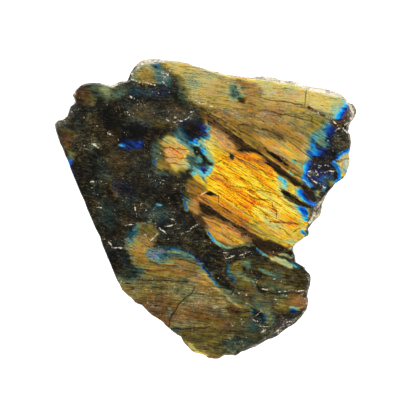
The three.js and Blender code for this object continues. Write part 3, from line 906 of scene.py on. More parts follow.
paint_lines([
    (0.80, 0.58, 0.80, 1.6, 2, "189,345.4 196,350.6 202,353 207,355.6"),
    (0.24, 0.86, 0.50, 1.2, 1.6, "207,357 212,357.4"),
    (0.20, 0.88, 0.40, 1.0, 1.6, "214,358 218,358"),
    (0.16, 0.92, 0.50, 0.8, 1.4, "151,316.4 158,320 166,325.6"),
    (0.30, 0.36, 0.50, 1.6, 1.6, "170,308 172,312"),
    (0.24, 0.38, 0.34, 1.6, 2.0, "174,330.4 180,331"),
    (0.40, 0.62, 0.34, 1.0, 2.5, "206,342 222,338 232,336"),
    (0.40, 0.80, 0.42, 1.2, 2, "146,272 166,270 186,274"),
    (0.34, 0.75, 0.30, 1.2, 2, "186,316 206,318 230,322"),
    (0.50, 0.38, 0.50, 0.6, 1.4, "131.5,229 134,227.5 138.4,224 145,221.6 151,220.8"),
    (0.60, 0.46, 0.55, 0.9, 1.6, "153,260.5 160,262 166,262.4 173,263.4"),
    (0.60, 0.44, 0.44, 1.0, 2.0, "124.6,241 126,245 129,249"),
    (0.50, 0.40, 0.50, 1.0, 1.8, "129.6,254 131.6,257 135,260.6"),
    (0.60, 0.50, 0.60, 0.7, 1.3, "168.6,251.6 176,252.8 186,255.4"),
    (0.40, 0.35, 0.45, 0.5, 1.4, "174,250.4 186,253.6 193,256.4"),
    (0.50, 0.40, 0.52, 0.8, 1.4, "190,256 195,257.4 199,260"),
    (0.16, 0.16, 0.24, 1.4, 1.8, "197,258 201,260 204,262"),
    (0.50, 0.38, 0.50, 0.5, 1.2, "196.8,265.4 202,267.8 206,272 210.4,276.4"),
    (0.14, 0.165, 0.36, 0.8, 1.4, "203.4,266.6 207,270 209.4,273.4"),
    (0.16, 0.20, 0.34, 0.5, 1.2, "208,273 212,277.6 217,282"),
    (0.50, 0.40, 0.62, 0.7, 1.5, "211,278.4 216,283 221,287.6"),
    (0.40, 0.30, 0.40, 0.4, 1.4, "216,281.4 219,284.6 222.6,288"),
    (0.80, 0.58, 0.50, 0.6, 1.2, "216,288 224,294 232,301 239,306"),
])

# %% Paint the lower right
paint_patches([
    # A dim olive ground, dark along the cracks.
    (0.32, 0.58, 0.20, 8, "222,262 250,256 270,262 300,268 310,286 308,306 288,322 262,330 240,330 228,310 "
        "232,290"),
    # The ring: dim teal, then sage round a gold-brown heart, and the sage streaks below.
    (0.16, 0.27, 0.40, 3, "226,265 230,263 231,271 237,279 235,281 228,276"),
    (0.18, 0.20, 0.45, 2, "231.6,275.4 234,276 237,280 234,281"),
    (0.44, 0.45, 0.54, 3, "232,263 238,260 248,260.4 250,267 243,268 238,264 233,267"),
    (0.38, 0.68, 0.38, 3, "232,266.6 238,265.6 241.6,269 238,272 232,271"),
    (0.10, KEEP, 0.05, 2, "241,266 246,266 246,270.4 242,270"),
    (0.56, 0.46, 0.56, 3, "232,271.6 238,272.6 246,276 252,281 251,284 244,280 236,276"),
    (0.34, 0.52, 0.36, 4, "237,279 246,282 253,288 250,291 242,287"),
    (0.44, 0.74, 0.30, 4, "244,288 252,290 258,296 252,297"),
    (0.16, KEEP, 0.04, 4, "252,270 262,269 267,274 264,280 254,279"),
    (0.11, KEEP, 0.04, 3, "255,283 261,285 266,294 259,294"),
    # The pale band from yellow to green to blue, with red-brown above it.
    (0.24, 0.93, 0.50, 2, "266,251.6 274,252.6 279,255.4 270,255.4"),
    (0.95, 0.60, 0.74, 2, "267.6,255.8 272,256 278.6,259.4 279,262 273,261"),
    (0.90, 0.44, 0.72, 2.5, "276,258 286,261 292,264 292,268 284,267.6 279,263.4"),
    (0.20, 0.24, 0.85, 1.6, "292,262.6 296,263 298,266.6 294,266.6"),
    (0.60, 0.45, 0.55, 1.6, "280,253.6 287,254 291.6,257.6 284,257"),
    # The dark olive shoulder.
    (0.25, 0.66, 0.20, 7, "268,264 290,270 308,278 310,288 288,284 274,276"),
    (0.34, 0.43, 0.32, 4, "277,270 284,272 286,280 278,280"),
    (0.19, 0.64, 0.14, 4, "286,272 300,274 310,280 308,288 290,284"),
    (0.50, 0.50, 0.38, 4, "265,284 274,284 282,286 280,289 270,289"),
    (0.50, 0.60, 0.36, 3, "283,286.6 294,286.6 295,289 284,289.4"),
    # Below the crushed line: olive, brown and a dark pool with teal round it.
    (0.50, 0.51, 0.32, 5, "222,290 234,296 244,304 240,308 226,302"),
    (0.40, 0.50, 0.36, 5, "252,296 264,300 270,312 266,318 256,308"),
    (0.34, 0.84, 0.28, 4, "231,306.6 243,308 244,312 233,311"),
    (0.34, 0.58, 0.34, 3, "241,311 252,311 254,316 243,317"),
    (0.50, 0.50, 0.38, 3, "263,307 271,308 274,320 266,322"),
    (0.08, 0.32, 0.06, 4, "252,309 260,308 263,314 262,321 254,320"),
    (0.46, KEEP, 0.08, 4, "258,323 270,323 271,335 259,334"),
    (0.36, 0.40, 0.26, 4, "246,324 256,324 257,329 247,330"),
    (0.34, 0.76, 0.20, 5, "224,320 231,320 231,329 224,329"),
    (0.52, 0.58, 0.38, 4, "273,300 286,300 290,306 284,312 275,308"),
    (0.58, 0.80, 0.42, 4, "286,303 291,296 302,295 306,302 304,309 299,311 294,307 288,311"),
    (0.60, 0.84, 0.36, 2.5, "300,298 305,300 304,309 300,307"),
    (0.50, 0.42, 0.40, 3, "278,292 285,293 287,297 280,297"),
    (0.14, 0.17, 0.34, 1.2, "290,310 296,309.8 297,311 294,312.6 291,312.6"),
    (0.20, KEEP, 0.05, 4, "272,316 300,314 300,324 284,336 272,338"),
])
paint_lines([
    (0.40, 0.42, 0.55, 1.2, 1.8, "205,230 209,234 213,239"),
    (0.30, 0.23, 0.90, 2.0, 1.6, "208.6,233.6 211.6,237 215,240.4"),
    (0.60, 0.32, 0.95, 1.6, 1.5, "215,240.6 218,243.4 221,245.6"),
    (0.50, 0.40, 0.70, 1.2, 1.6, "220,245 226,247 234,247"),
    (0.40, 0.46, 0.50, 1.0, 1.6, "234,247 244,245.4 254,245.6"),
    (0.40, 0.30, 0.80, 1.2, 1.4, "258.6,250 261.6,252 265,254.4"),
    (0.70, 0.37, 0.74, 0.9, 1.2, "260.6,252 264,254.6 267,256"),
    (0.70, 0.35, 0.80, 0.6, 1.0, "290,308.8 294,307.8 297,308.8 300,308.4"),
    (0.30, 0.24, 0.60, 1.4, 1.8, "187,199 185.6,205 187,210"),
    (0.30, 0.42, 0.60, 1.0, 1.5, "259,268.6 262.6,270.4"),
    (0.36, 0.33, 0.50, 1.2, 2.2, "264.8,271.4 270,273.4 275.4,275.6"),
    (0.60, 0.37, 0.60, 0.8, 1.4, "250,278.6 252.6,282 254.4,285"),
    (0.40, 0.40, 0.45, 1.0, 1.8, "254,286 257,291 259.4,297"),
    (0.40, 0.40, 0.32, 1.0, 1.8, "266,299 269,305 271.6,311 272.4,322 271.6,334"),
    (0.50, 0.38, 0.50, 1.0, 1.6, "226,291.5 229,291.5"),
    (0.50, 0.42, 0.40, 1.2, 1.6, "245,304 248,306 249,310"),
    (0.60, 0.58, 0.50, 0.6, 1.3, "246,301 256,306 262,312"),
])
# Dark cracks run down to the right through it, painted as shadows with soft sides.
draw_rows(draw.shadow, [
    (0.9, 1.2, 1.6, "238,292 244,298 251,303 257,309"),
    (0.9, 1.0, 1.6, "250,281 256,288 261,296 268,301"),
    (1.0, 1.4, 1.4, "274,255 281,256 286,257.4 290.4,259.6 296,261"),
    (0.8, 2.0, 2.0, "269,260 276,264 282,269"),
    (0.7, 1.0, 1.6, "230,305 240,310 250,315 258,324"),
    (0.9, 1.2, 1.8, "272,308 279,313 286,320 290,326"),
    (0.7, 1.5, 1.5, "296,287 299,292 296,296"),
    (0.7, 1.2, 1.8, "262,276 272,280 284,281 300,286"),
    (0.9, 1.0, 1.8, "262,292.4 272,293.4 284,293 296,292.6 308,293.4"),
    (0.6, 1.0, 1.8, "246,284 254,294 262,306 266,314"),
    (0.6, 1.4, 1.8, "226,322 238,324 252,326"),
    (0.6, 1.0, 1.6, "236,262 244,266 252,272"),
    (0.6, 1.0, 1.6, "232,274 242,280 250,287 256,294"),
    (0.6, 1.0, 1.6, "224,264 223,272 228,280 238,288"),
])

# %% [markdown]
# ## The small gold flash and the dark eye
#
# Left of the panel lies a smaller flash, orange inside and green toward its border. Between the two is a
# dark eye with a blue shore, and under it a dark island ringed with cyan.

# %% Paint the small gold flash and the dark eye
paint_patches([
    (0.38, 0.41, 0.34, 6, "150,148 156,141 166,133 178,132 190,142 196,150 194,164 188,174 178,178 168,172 "
        "158,168 152,158"),
    (0.85, 0.54, 0.66, 4, "160,141 168,135 177,136 185,142 184,149 166,149"),
    (0.90, 0.59, 0.70, 4, "172,140 180,138 188,146 186,150 174,149"),
    (1.00, 0.74, 0.76, 3, "164,150 172,147 184,148 192,151 194,156 189,165 185,171 178,172 172,167 166,159"),
    (1.00, 0.80, 0.74, 4, "168,152 184,151 190,155 186,162 172,161"),
    (0.80, 0.62, 0.58, 4, "174,165 180,164 187,167 184,173 177,172"),
    (0.45, 0.70, 0.45, 3, "159,163 165,162 168,169 162,171", 1),
    (0.40, 0.38, 0.36, 4, "152,168 160,170 166,175 156,175"),
    # The dark eye and its border.
    (0.13, 0.10, 0.30, 3, "178,126 186,121 198,121 206,128 205,138 196,141 186,139 180,134"),
    (0.13, 0.155, 0.50, 3, "202,124 206,126 207.6,132 205.6,138.6 203,137 203,130"),
    (0.13, 0.15, 0.32, 4, "180,131 186,137 192,141 188,145 181,139"),
    (0.12, KEEP, 0.06, 5, "181,124 192,122 198,128 197,136 190,138 183,133"),
    (1.00, 0.57, 0.88, 2, "198,142.4 206,138.4 214,141.6 212,149 203,147.6"),
    (0.30, 0.33, 0.28, 4, "176,128 180,128 184,136 188,143 182,143 178,137"),
    # The dark island under it, its teal left side and its shore.
    (0.40, 0.42, 0.58, 3, "190,145 200,143 206,148 211,156 214,164 211,172 205,176 197,172 190,167 187,158"),
    (0.13, 0.42, 0.10, 2, "193,147.4 199.6,147.4 204.4,153 208,158 214,163.6 212.8,165.4 207,164.6 200,167 "
        "198.6,162 194.8,155.6 192.3,151.3"),
    (0.30, 0.40, 0.26, 3, "187,156 194,157 198,163 199,168 190,165"),
    (0.40, 0.385, 0.66, 2, "196.6,157 200.4,155.6 203,160 201.4,164 198,163"),
    (0.15, 0.16, 0.30, 2, "201,169 206,168.6 206,173 202,174.6"),
    (0.14, KEEP, 0.06, 4, "180,170 190,170 192,178 182,179"),
])
paint_lines([
    (0.50, 0.42, 0.34, 1.2, 2, "177,128 180,136 185,142"),
    (0.60, 0.27, 0.95, 1.6, 1.5, "191.6,143 194.6,142 197.4,141"),
    (0.90, 0.40, 0.90, 1.0, 1.4, "196,145 200,143 204.4,140"),
    (0.50, 0.36, 0.80, 1.2, 1.8, "203,140.5 207.6,136 209,130 208,126"),
    (0.60, 0.27, 0.95, 2.2, 1.3, "204,148 206,151 207.6,154"),
    (0.80, 0.36, 0.90, 1.2, 1.5, "206.4,149 209,155 213,161"),
    (0.90, 0.50, 0.80, 0.8, 1.2, "209,152 211.6,156.6 215,162.6"),
    (0.70, 0.39, 0.80, 1.6, 1.6, "192,166 197,169 201,172.6 205,175.6"),
    (0.90, 0.36, 0.95, 1.6, 1.4, "210.6,167 209.6,171 206,175"),
    (0.90, 0.34, 0.95, 1.2, 1.2, "197.6,169.6 200.6,171"),
    (0.60, 0.33, 0.80, 1.0, 1.2, "191.8,171 193,175"),
    (0.50, 0.44, 0.30, 1.0, 1.5, "204,178 206,182"),
    (0.30, 0.25, 0.40, 1.4, 2.0, "155,161.6 158.6,165"),
])

# %% [markdown]
# ## Thin colours side by side
#
# The thinnest film ends in stripes: pale, cyan, azure and navy within two or three millimetres. Patches
# would blur into one another there, so each stripe is a line of its own on the paper that hardly bends.

# %% Rule the stripes of the brightest borders
paint_lines([
    # The crescent, from its pale side through cyan and azure to navy.
    (1.00, 0.44, 0.80, 1.6, 2.0, "344.4,100.8 341.6,105 338,109 334.4,112.6"),
    (1.00, 0.34, 0.95, 1.6, 1.2, "346.6,101 344.4,105 341,109.4 337,113.4 335,117"),
    (0.30, 0.25, 1.00, 1.6, 1.2, "348.6,102 346.8,106 343.4,110.8 339.4,115 337.4,118.4"),
    (0.12, 0.14, 0.90, 1.6, 1.6, "350.4,103.6 349,107.6 345.8,112 342,116.4"),
    # The right-hand point: a blue border, white and cyan inside it, peach and a pale cyan heart.
    (0.16, 0.19, 0.90, 1.4, 1.4, "338,158.4 341,153.6 345,151 351,150.4"),
    (0.70, 0.30, 1.00, 1.0, 1.0, "338.6,159 341.6,155 345.6,152.6 350.6,152.2"),
    (1.00, 0.40, 0.55, 1.2, 1.0, "339.6,160 342.6,156.2 346,154.2 350.6,153.8"),
    (1.00, 0.37, 0.62, 5.6, 1.4, "346.8,161.6 347.2,166 346.6,171"),
    (0.12, 0.21, 1.00, 1.6, 1.0, "333.6,163.6 336,166.4 338.6,170.6 340.8,176"),
    (0.60, 0.31, 1.00, 1.0, 1.0, "335.4,163 337.6,166 340.2,170.4 342.2,176"),
    (1.00, 0.44, 0.55, 0.8, 1.2, "337.4,163 339.4,166 341.6,170.4 343,174.6"),
    (0.90, 0.72, 1.00, 1.6, 1.2, "343,175 344.6,176"),
    (0.40, 0.29, 0.95, 1.6, 1.0, "335.4,181.6 339.6,179.4"),
    # The gold's blue ends: green, cyan, blue and navy side by side.
    (0.60, 0.50, 0.90, 1.0, 1.4, "296.4,188 296.2,192.4 297.8,197.4"),
    (0.20, 0.305, 1.00, 1.4, 1.0, "298.8,189.6 299,193.6 301,197.4 304.6,200.2 308,202.8"),
    (0.12, 0.20, 1.00, 2.2, 1.0, "301.4,190.8 302.6,194.4 305.2,197.8 309,201.4 312.4,204.6"),
    (0.12, 0.10, 0.60, 1.2, 1.2, "303.6,191.4 306,195.2 309.4,198.8"),
    (0.20, 0.305, 1.00, 1.2, 1.0, "303,176.4 304.8,179.8 307.6,183.2"),
    (0.12, 0.20, 1.00, 1.6, 1.0, "305,177.2 307.2,181 311,185.6"),
    (0.20, 0.31, 1.00, 1.2, 1.0, "298,206.8 300,209.4 302,212.6 303.6,215.6"),
    (0.12, 0.20, 1.00, 1.6, 1.0, "301,208 303.4,211.4 305.4,214.6"),
    (0.20, 0.30, 1.00, 1.0, 1.0, "307.6,164.6 305.8,167.4 305,170.6 305.4,173.6"),
    (0.12, 0.19, 1.00, 1.2, 1.0, "309,165 307.6,167.6 307,171 307.4,174.2"),
    (0.30, 0.25, 1.00, 1.6, 1.0, "301.6,231.4 303.4,233 305.4,235"),
    (0.90, 0.34, 1.00, 2.2, 1.0, "286,185 286.6,187"),
    (0.60, 0.34, 1.00, 1.6, 1.2, "280,177.4 283.6,179.4"),
    # The sage end of the pale band under the gold, and the gold's own green tip.
    (0.90, 0.45, 0.72, 2.6, 2.0, "276,259 283,261.8 290,265.4"),
    (0.70, 0.45, 0.60, 1.0, 1.6, "280,254.4 286,255 290.6,257.4"),
    (0.80, 0.50, 0.85, 3.0, 2.4, "288,241 294,242 297,245"),
    (0.80, 0.41, 0.85, 1.0, 1.6, "290,249.6 296,247.4 300,243"),
], paper="true")

# %% [markdown]
# ## Letting the colours run
#
# The spacing of the film's layers changes slowly, so one colour never stops dead against another. We let
# neighbouring colours run into each other, and draw the thin bright lines over them afterwards.

# %% Let the colours run and draw the thin lines
COLOUR_PASSES = 4
draw.run_together(COLOUR_PASSES)
for vein in ORANGE_VEINS:
    draw.line(vein, width=0.8, edge=2.2, flash=0.85, strength=0.7)
for vein in YELLOW_VEINS:
    draw.line(vein, width=1.5, edge=2.5, flash=0.66, strength=0.85)
for paper, *numbers, width, edge, text in THIN_LINES:
    draw.line(text, width, edge, paper, **painted(*numbers))
print("veins and thin lines:", len(ORANGE_VEINS) + len(YELLOW_VEINS) + len(THIN_LINES))

# %% [markdown]
# ## Cracks and bruises
#
# Open cracks are thin and dark, and really cut into the surface. Bruises are where the cleavage is
# crushed to a cream powder, along a thin line or over a patch. The same cream also paints glints, where a
# broken cleavage face catches the light, and the light on the upper rims. A patch's number says how
# bruised the stone is, together with these painted glints and rim light: the material breaks low numbers
# into loose specks and high ones into dashes.

# %% Draw the cracks
CRACKS = [
    "260,97 270,99.4 277,100.6 283,101.7 290.5,102.3 296.4,104 305,105.3",
    "262,110 273.5,111.7 281.7,114.6 290,115.8 298,118 305,119.3 312,121", "306.4,91 306,98 305.6,104",
    "272,203 273,208.2 276.3,209.4 277,213.2 276.3,218",
    "240,177 247.4,181 254,187.4 259,190 269,192 281,196.5", "232,186 242,187.5 249,189.5 254,191.5",
    "269,179 273,180.5", "289,141 297,147.5 306,155 318,162", "218.3,196 218.7,203",
    "272,255 280,255.5 287,259 295,261", "138,280 160,280.5 186,281.5",
    "194.8,286.7 191.7,292.7 183.7,298.7 177.6,306.8 171.6,314.9 170,321 169,328",
    "171,329.5 185,329 200,328 210,327", "222,233 228,237 237,243", "249,195.8 258,199 269,200.7",
    "270.5,221.5 284,222.5 299,224", "294,232 297,229 300,228", "240,204 248,210 252,216",
]
for crack in CRACKS:
    draw.hair("crack", 0.9, crack)
# The sides of the crack to the lower left border are darkened by painted shade too.
draw_rows(draw.shadow, [
    (0.6, 1.4, 1.4, "194.8,286.7 191.7,292.7 183.7,298.7 177.6,306.8 171.6,314.9 169.6,323"),
    (0.9, 1.2, 1.0, "180.5,302.5 175.6,309.6 171.4,315.6 169.6,323 168.6,329"),
    (0.9, 1.8, 1.8, "166,309.6 167.4,310"),
    (0.9, 1.0, 1.6, "170,329.4 180,329.6 192,328.6 206,327.6"),
])
# Each pit is a small lopsided diamond round one of these spots.
PITS = (
    "233.4,92.2 235.6,87.6 238.7,94.4 166.5,309.5 209.5,131.9 205.3,149.1 202,138 127,143 131,146 136,143.4 "
        "123,147 139,148 129,149.4 134,140.4 141,144.6 313,139.4 317,143 312,147 322,136 321,150 308,151 "
        "326,141 324,129.6 295.2,161 241,99 318.7,134 327,128.7 269.5,223 247.4,297 250,273"
)
for x, y in squares(PITS).tolist():
    draw.wedge(f"{x - 0.9},{y - 0.5} {x + 0.3},{y - 0.9} {x + 1},{y + 0.3} {x},{y + 0.9}")
draw.hair("crack", 0.8, "310,141.5 315,142.5")
print("cracks:", len(CRACKS), "pits:", len(PITS.split()))

# %% Draw the bruises
# Cream lines of crushed cleavage, among them painted glints beside the pits and chips and painted light along
# the upper rims.
BRUISES_AND_GLINTS = [
    "160,71 164,73 168,71 167,77 162,80 166,85", "131,97 138,101 144,105",
    "126.5,79.5 131,79 140,82 150,84 158,85.5", "127,112 130,115 133,117",
    "195,100.6 200,103 209,105 217,107", "186,116 190,112 194,111", "168,120 174,122",
    "176,118 182,121 186,119", "107,133 111,134", "89,182 96,181", "88,142 95,145 99,148", "98,208 101,208.5",
    "152,240 157.5,235", "144,234 149,238", "158,227.4 164.5,232", "109,242 113,247", "115,248 121,248",
    "191,229 194,226 198,224.5", "184,233 188,232", "170,212.5 173,212.5", "172,219.5 174.5,219.5",
    "168,226 174,224.5", "135,206 136,214", "127,225.5 131,225", "202,195 206,192.5 210,190",
    "308,172 312,171 314.6,172.6", "315.2,173.5 317,171.5 319,169.8", "316.5,172 317.5,175.5",
    "325.2,172 328.3,170.4 332,171.2", "309,176.5 313.7,181 318.3,183.5 321.4,185.8 324.5,187.7 329,187.3",
    "319,163.8 324.6,165", "319.4,165.2 324,165.8", "325,164.6 329,166",
    "313.3,109.6 319.2,113.3 327.5,117.5 331.7,120.8 335.8,123.8 339.2,125.4",
    "337.5,129.6 341.7,126.7 346.7,123.8 350,120.8", "341.7,127 346.7,130.8 349.2,135",
    "350,120.8 352,114 350.6,107.5 349.3,104",
    "226.3,257.7 231.8,256.3 236,254.3 240.8,255 245.6,253 249,252.2", "224,250 229,251.6",
    "224.6,252.6 230,252.4", "263.5,288.8 268,290.5 274.4,291.6 282.4,291.6 288,291", "291,290 295,290",
    "299,291.6 305,290", "306,274 309,279", "301,227.5 304,229.5 308,230.5", "252.4,273 254,277",
    "258,314 260,312.6", "253.8,319.7 258.2,321.9", "263,331 267,328", "262,326 268,327",
    "274.5,302.5 276.5,303.5", "275.5,299.5 277.5,300", "246,295 248,297", "230.5,323.5 232,324.5",
]
for bruise in BRUISES_AND_GLINTS:
    draw.hair("ridge", 0.7, bruise)
# Speckled patches: how bruised, how soft the border is, and the corners.
SPECKLED = [
    (0.62, 2, "345,160 351,158 351,172 346.6,173"),
    (0.4, 3, "340,162 344,161 344,172 341,172"),
    (0.34, 8, "166,106 186,108 198,110 196,122 176,126 166,118"),
    (0.42, 3, "184,114 192,108 196,111 188,118"),
    (0.6, 3, "126,111 131,110 135,118 130,119"),
    (0.5, 3, "160,70 169,69 169,78 162,84"),
    (0.28, 8, "126,106 158,104 162,120 134,124"),
    (0.22, 10, "130,204 176,204 200,222 190,240 150,232 130,226"),
    (0.24, 8, "96,236 124,238 128,252 104,256"),
    (0.3, 4, "222,247 246,247 246,256 224,258"),
    (0.5, 5, "273,318 298,316 294,330 273,338"),
    (0.3, 5, "262,322 272,322 272,334 262,336"),
    (0.32, 6, "225,334 256,334 248,350 226,352"),
    (0.34, 4, "289,272 296,272 296,281 289,281"),
    (0.26, 6, "305,160 336,160 334,190 312,192"),
    (0.5, 3, "346,104 356,104 354,130 345,126"),
    (0.18, 12, "110,150 170,150 190,190 130,200"),
    # These four patches run along the upper rims: a pale crust, with painted light where the lamps catch the
    # broken edge.
    (0.66, 2.5, "129,80 132,68 140,58 160,56 178,58.6 178,62.4 160,61 144,62.6 136.6,70 133,80"),
    (0.5, 3, "254,74 280,77 300,81 322,87 342,95 342,98 320,92 298,86 256,78"),
    (0.6, 2.5, "72,90 80,82 96,80 112,83 124,79 131,77 129,83 112,87 94,84 82,86 76,92"),
    (0.5, 2.5, "52,122 62,120 72,116 70,112 74,100 77,101 75,116 64,124 55,128"),
    (0.45, 3, "300,294 308,280 312,286 306,306 300,310"),
    (0.4, 3, "220,247 232,247 231,254 222,254"),
    (0.3, 5, "308,196 324,194 320,216 308,214"),
    (0.24, 6, "242,286 280,296 262,312 240,300"),
]
for scarred, edge, text in SPECKLED:
    draw.patch(edge, text, scar=scarred)
print("bruises:", len(BRUISES_AND_GLINTS), "speckled patches:", len(SPECKLED))

# %% [markdown]
# ## The relief
#
# Polishing levels the face but can't fill what lies below it. Cracks sink by about a tenth of a
# millimetre, bruises by half as much and black patches by up to twice as much, and the whole face keeps a
# faint waviness from the polishing wheel.

# %% Sink the cracks and join the layers up with the wall
CRACK_DEPTH = 0.00012
BRUISE_DEPTH = 0.00005
# A wedge sinks by this for each square of its depth, up to two.
WEDGE_DEPTH = 0.0001
WAVINESS, WAVE_SIZE = 0.00004, 0.012

layers = draw.layers
face[:, 2] -= CRACK_DEPTH * layers["crack"] + BRUISE_DEPTH * layers["scar"]
face[:, 2] -= WEDGE_DEPTH * np.clip(layers["wedge"], 0, 2)
face[:, 2] -= WAVINESS * noise(face, WAVE_SIZE, 71)
points[: len(face)] = face

# On the wall, `raw` is 1, and the wall is paler along the upper edge: partly a crust, thickest there where
# the lump weathered, and partly painted light, where the strongest lamp falls on the top of the rim.
raw = np.concatenate([np.zeros(len(face)), np.ones(len(wall))])
wall_spots = on_sheet(wall)
upper_edge = soft_step(150, 100, wall_spots[:, 1]) * soft_step(0.4, 1, wall[:, 2] / THICKNESS)
crust = np.concatenate([np.zeros(len(face)), upper_edge])


def carry_down(layer):
    """A face layer, carried on down the wall from the face's edge."""
    return np.concatenate([layer, np.tile(layer[border], WALL_ROWS)])


stored = {name: carry_down(layer) for name, layer in layers.items()}
stored["raw"], stored["crust"] = raw, crust
print("deepest point below the polish:", round(1000 * float(THICKNESS - face[:, 2].min()), 2), "mm")

# %% [markdown]
# ## One closed mesh
#
# The face's net and the wall's rings share the border's points, so the skin has no seam, and one large
# polygon closes the back. The face is smooth shaded and the broken wall is flat shaded. Each layer
# goes into the mesh as an attribute, a number on every point that the material can read.

# %% Build the mesh
def net_faces(numbers):
    """The squares between neighbouring rows and columns of point numbers."""
    corners = numbers[:-1, :-1], numbers[:-1, 1:], numbers[1:, 1:], numbers[1:, :-1]
    return np.stack(corners, axis=-1).reshape(-1, 4)


face_number = np.arange(NET * NET).reshape(NET, NET)
wall_number = len(face) + np.arange(WALL_ROWS * len(border)).reshape(WALL_ROWS, -1)
rings = np.vstack([border, wall_number])
rings = np.hstack([rings, rings[:, :1]])
quads = np.concatenate([net_faces(face_number), net_faces(rings[::-1])])
back = wall_number[-1][::-1]

slab_mesh = bpy.data.meshes.new("labradorite_slab")
slab_mesh.from_pydata(points.tolist(), [], quads.tolist() + [back.tolist()])
smooth = np.zeros(len(quads) + 1, bool)
smooth[: (NET - 1) ** 2] = True
slab_mesh.polygons.foreach_set("use_smooth", smooth)
for name, values in stored.items():
    attribute = slab_mesh.attributes.new(name, "FLOAT", "POINT")
    attribute.data.foreach_set("value", values.astype(np.float32))
slab_mesh.update()
slab = bpy.data.objects.new("labradorite_slab", slab_mesh)
bpy.context.collection.objects.link(slab)
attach(slab, "root")
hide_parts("slab")
print("triangles:", 2 * len(quads) + len(back) - 2)

# %% [markdown]
# ## Shader arithmetic
#
# A material is a formula, and it reads best as one. `Wire` wraps a node's output so that plus, minus and
# times add the Math nodes, and `Graph.node` makes any other node: its type, its settings, then what goes
# into its sockets.

# %% The wire and the graph
class Wire:
    """An output socket that can be added, multiplied and so on."""

    def __init__(self, graph, socket):
        self.graph, self.socket = graph, socket

    def math(self, operation, *others, **settings):
        """A Math node that takes this wire first."""
        return self.graph.math(operation, self, *others, **settings)

    def __add__(self, other):
        return self.math("ADD", other)

    def __mul__(self, other):
        return self.math("MULTIPLY", other)

    def __sub__(self, other):
        return self.math("SUBTRACT", other)

    def __rsub__(self, other):
        return self.graph.math("SUBTRACT", other, self)

    __radd__, __rmul__ = __add__, __mul__

    def clipped(self):
        """This wire held between 0 and 1."""
        return self.math("ADD", 0.0, use_clamp=True)

    def step(self, start, end):
        """0 before start and 1 after end, smooth between."""
        settings = {"interpolation_type": "SMOOTHSTEP"}
        inputs = {"Value": self, "From Min": start, "From Max": end}
        return self.graph.node("ShaderNodeMapRange", settings, inputs)["Result"]


class Graph:
    """The nodes of one material or world."""

    def __init__(self, owner):
        owner.use_nodes = True
        self.tree = owner.node_tree
        self.tree.nodes.clear()

    def node(self, kind, settings=None, inputs=None):
        """Make a node, its settings first and then its sockets' values or links, and return its outputs."""
        made = self.tree.nodes.new(kind)
        for name, value in (settings or {}).items():
            if name == "stops":
                self.set_stops(made.color_ramp, value)
            else:
                setattr(made, name, value)
        for name, value in (inputs or {}).items():
            socket = next(s for s in made.inputs if s.enabled and name in (s.identifier, s.name))
            if isinstance(value, Wire):
                self.tree.links.new(value.socket, socket)
            else:
                socket.default_value = value
        # In reverse, so that of two outputs with one name the first is kept.
        return {s.name: Wire(self, s) for s in reversed(made.outputs) if s.enabled}

    @staticmethod
    def set_stops(ramp, stops):
        """Fill a colour ramp with (place, colour) stops: all places first, as a moved stop is renumbered."""
        while len(ramp.elements) < len(stops):
            ramp.elements.new(0.5)
        for element, (place, colour) in zip(ramp.elements, stops):
            element.position = place
        for element, (place, colour) in zip(ramp.elements, stops):
            element.color = colour

    def math(self, operation, *values, **settings):
        """A Math node of one to three values."""
        inputs = dict(zip(("Value", "Value_001", "Value_002"), values))
        return self.node("ShaderNodeMath", {"operation": operation, **settings}, inputs)["Value"]

    def mix(self, factor, first, second, blend="MIX"):
        """Two colours mixed by a factor."""
        inputs = {"Factor_Float": factor, "A_Color": first, "B_Color": second}
        return self.node("ShaderNodeMix", {"data_type": "RGBA", "blend_type": blend}, inputs)["Result"]

    def ramp(self, stops, place):
        """The colour that a ramp of stops has at a place."""
        return self.node("ShaderNodeValToRGB", {"stops": stops}, {"Fac": place})["Color"]

    def attributes(self, *names):
        """The numbers that the mesh keeps under these names."""
        return [self.node("ShaderNodeAttribute", {"attribute_name": name})["Fac"] for name in names]


# %% [markdown]
# ## Colours
#
# Each ramp turns a number into a colour: how light the rock is, or where the film is in its order. The
# colours are written as they look on screen, first mixed by eye and then corrected against test renders.
# The lamps are set a little stronger than a white floor needs, so that the floor stays clean round the
# stone, and every stone colour is mixed darker by the same amount.

# %% The palettes
LAMP_GAIN = 1.45


def paint(red, green, blue):
    """A colour as seen, 0 to 255, as the linear colour that the shader wants."""
    seen = np.array([red, green, blue]) / 255
    linear = np.where(seen <= 0.04045, seen / 12.92, ((seen + 0.055) / 1.055) ** 2.4)
    return (*(linear / LAMP_GAIN), 1.0)


def stops(*rows):
    """A ramp's stops from rows of place, red, green and blue."""
    return [(place, paint(*colour)) for place, *colour in rows]


# The film's flash is reflected light, painted into the colour as it shows from straight above, so it stays
# the same from every side.
FLASH_COLOURS = stops(
    (0.00, 12, 16, 34), (0.09, 10, 34, 92), (0.17, 0, 66, 196), (0.25, 0, 134, 255), (0.33, 20, 208, 255),
    (0.39, 118, 224, 214), (0.45, 160, 206, 150), (0.51, 212, 216, 120), (0.57, 248, 228, 84),
    (0.65, 255, 218, 40), (0.74, 255, 182, 6), (0.82, 250, 150, 24), (0.90, 212, 108, 40),
    (1.00, 144, 76, 48),
)
ROCK_COLOURS = stops(
    (0.00, 8, 7, 6), (0.20, 26, 23, 16), (0.40, 50, 47, 35), (0.60, 82, 76, 56), (0.80, 128, 120, 92),
    (1.00, 200, 190, 155),
)
# The crust's colours, which also paint the light on the upper rim.
CRUST_AND_LIT_EDGE_COLOURS = stops((0.00, 84, 70, 48), (0.30, 150, 134, 104), (0.60, 200, 188, 160), (1.00, 246, 238, 218))
BREAK_COLOURS = stops(
    (0.00, 10, 8, 6), (0.30, 36, 31, 22), (0.52, 84, 74, 54), (0.75, 142, 130, 102), (1.00, 240, 226, 192),
)
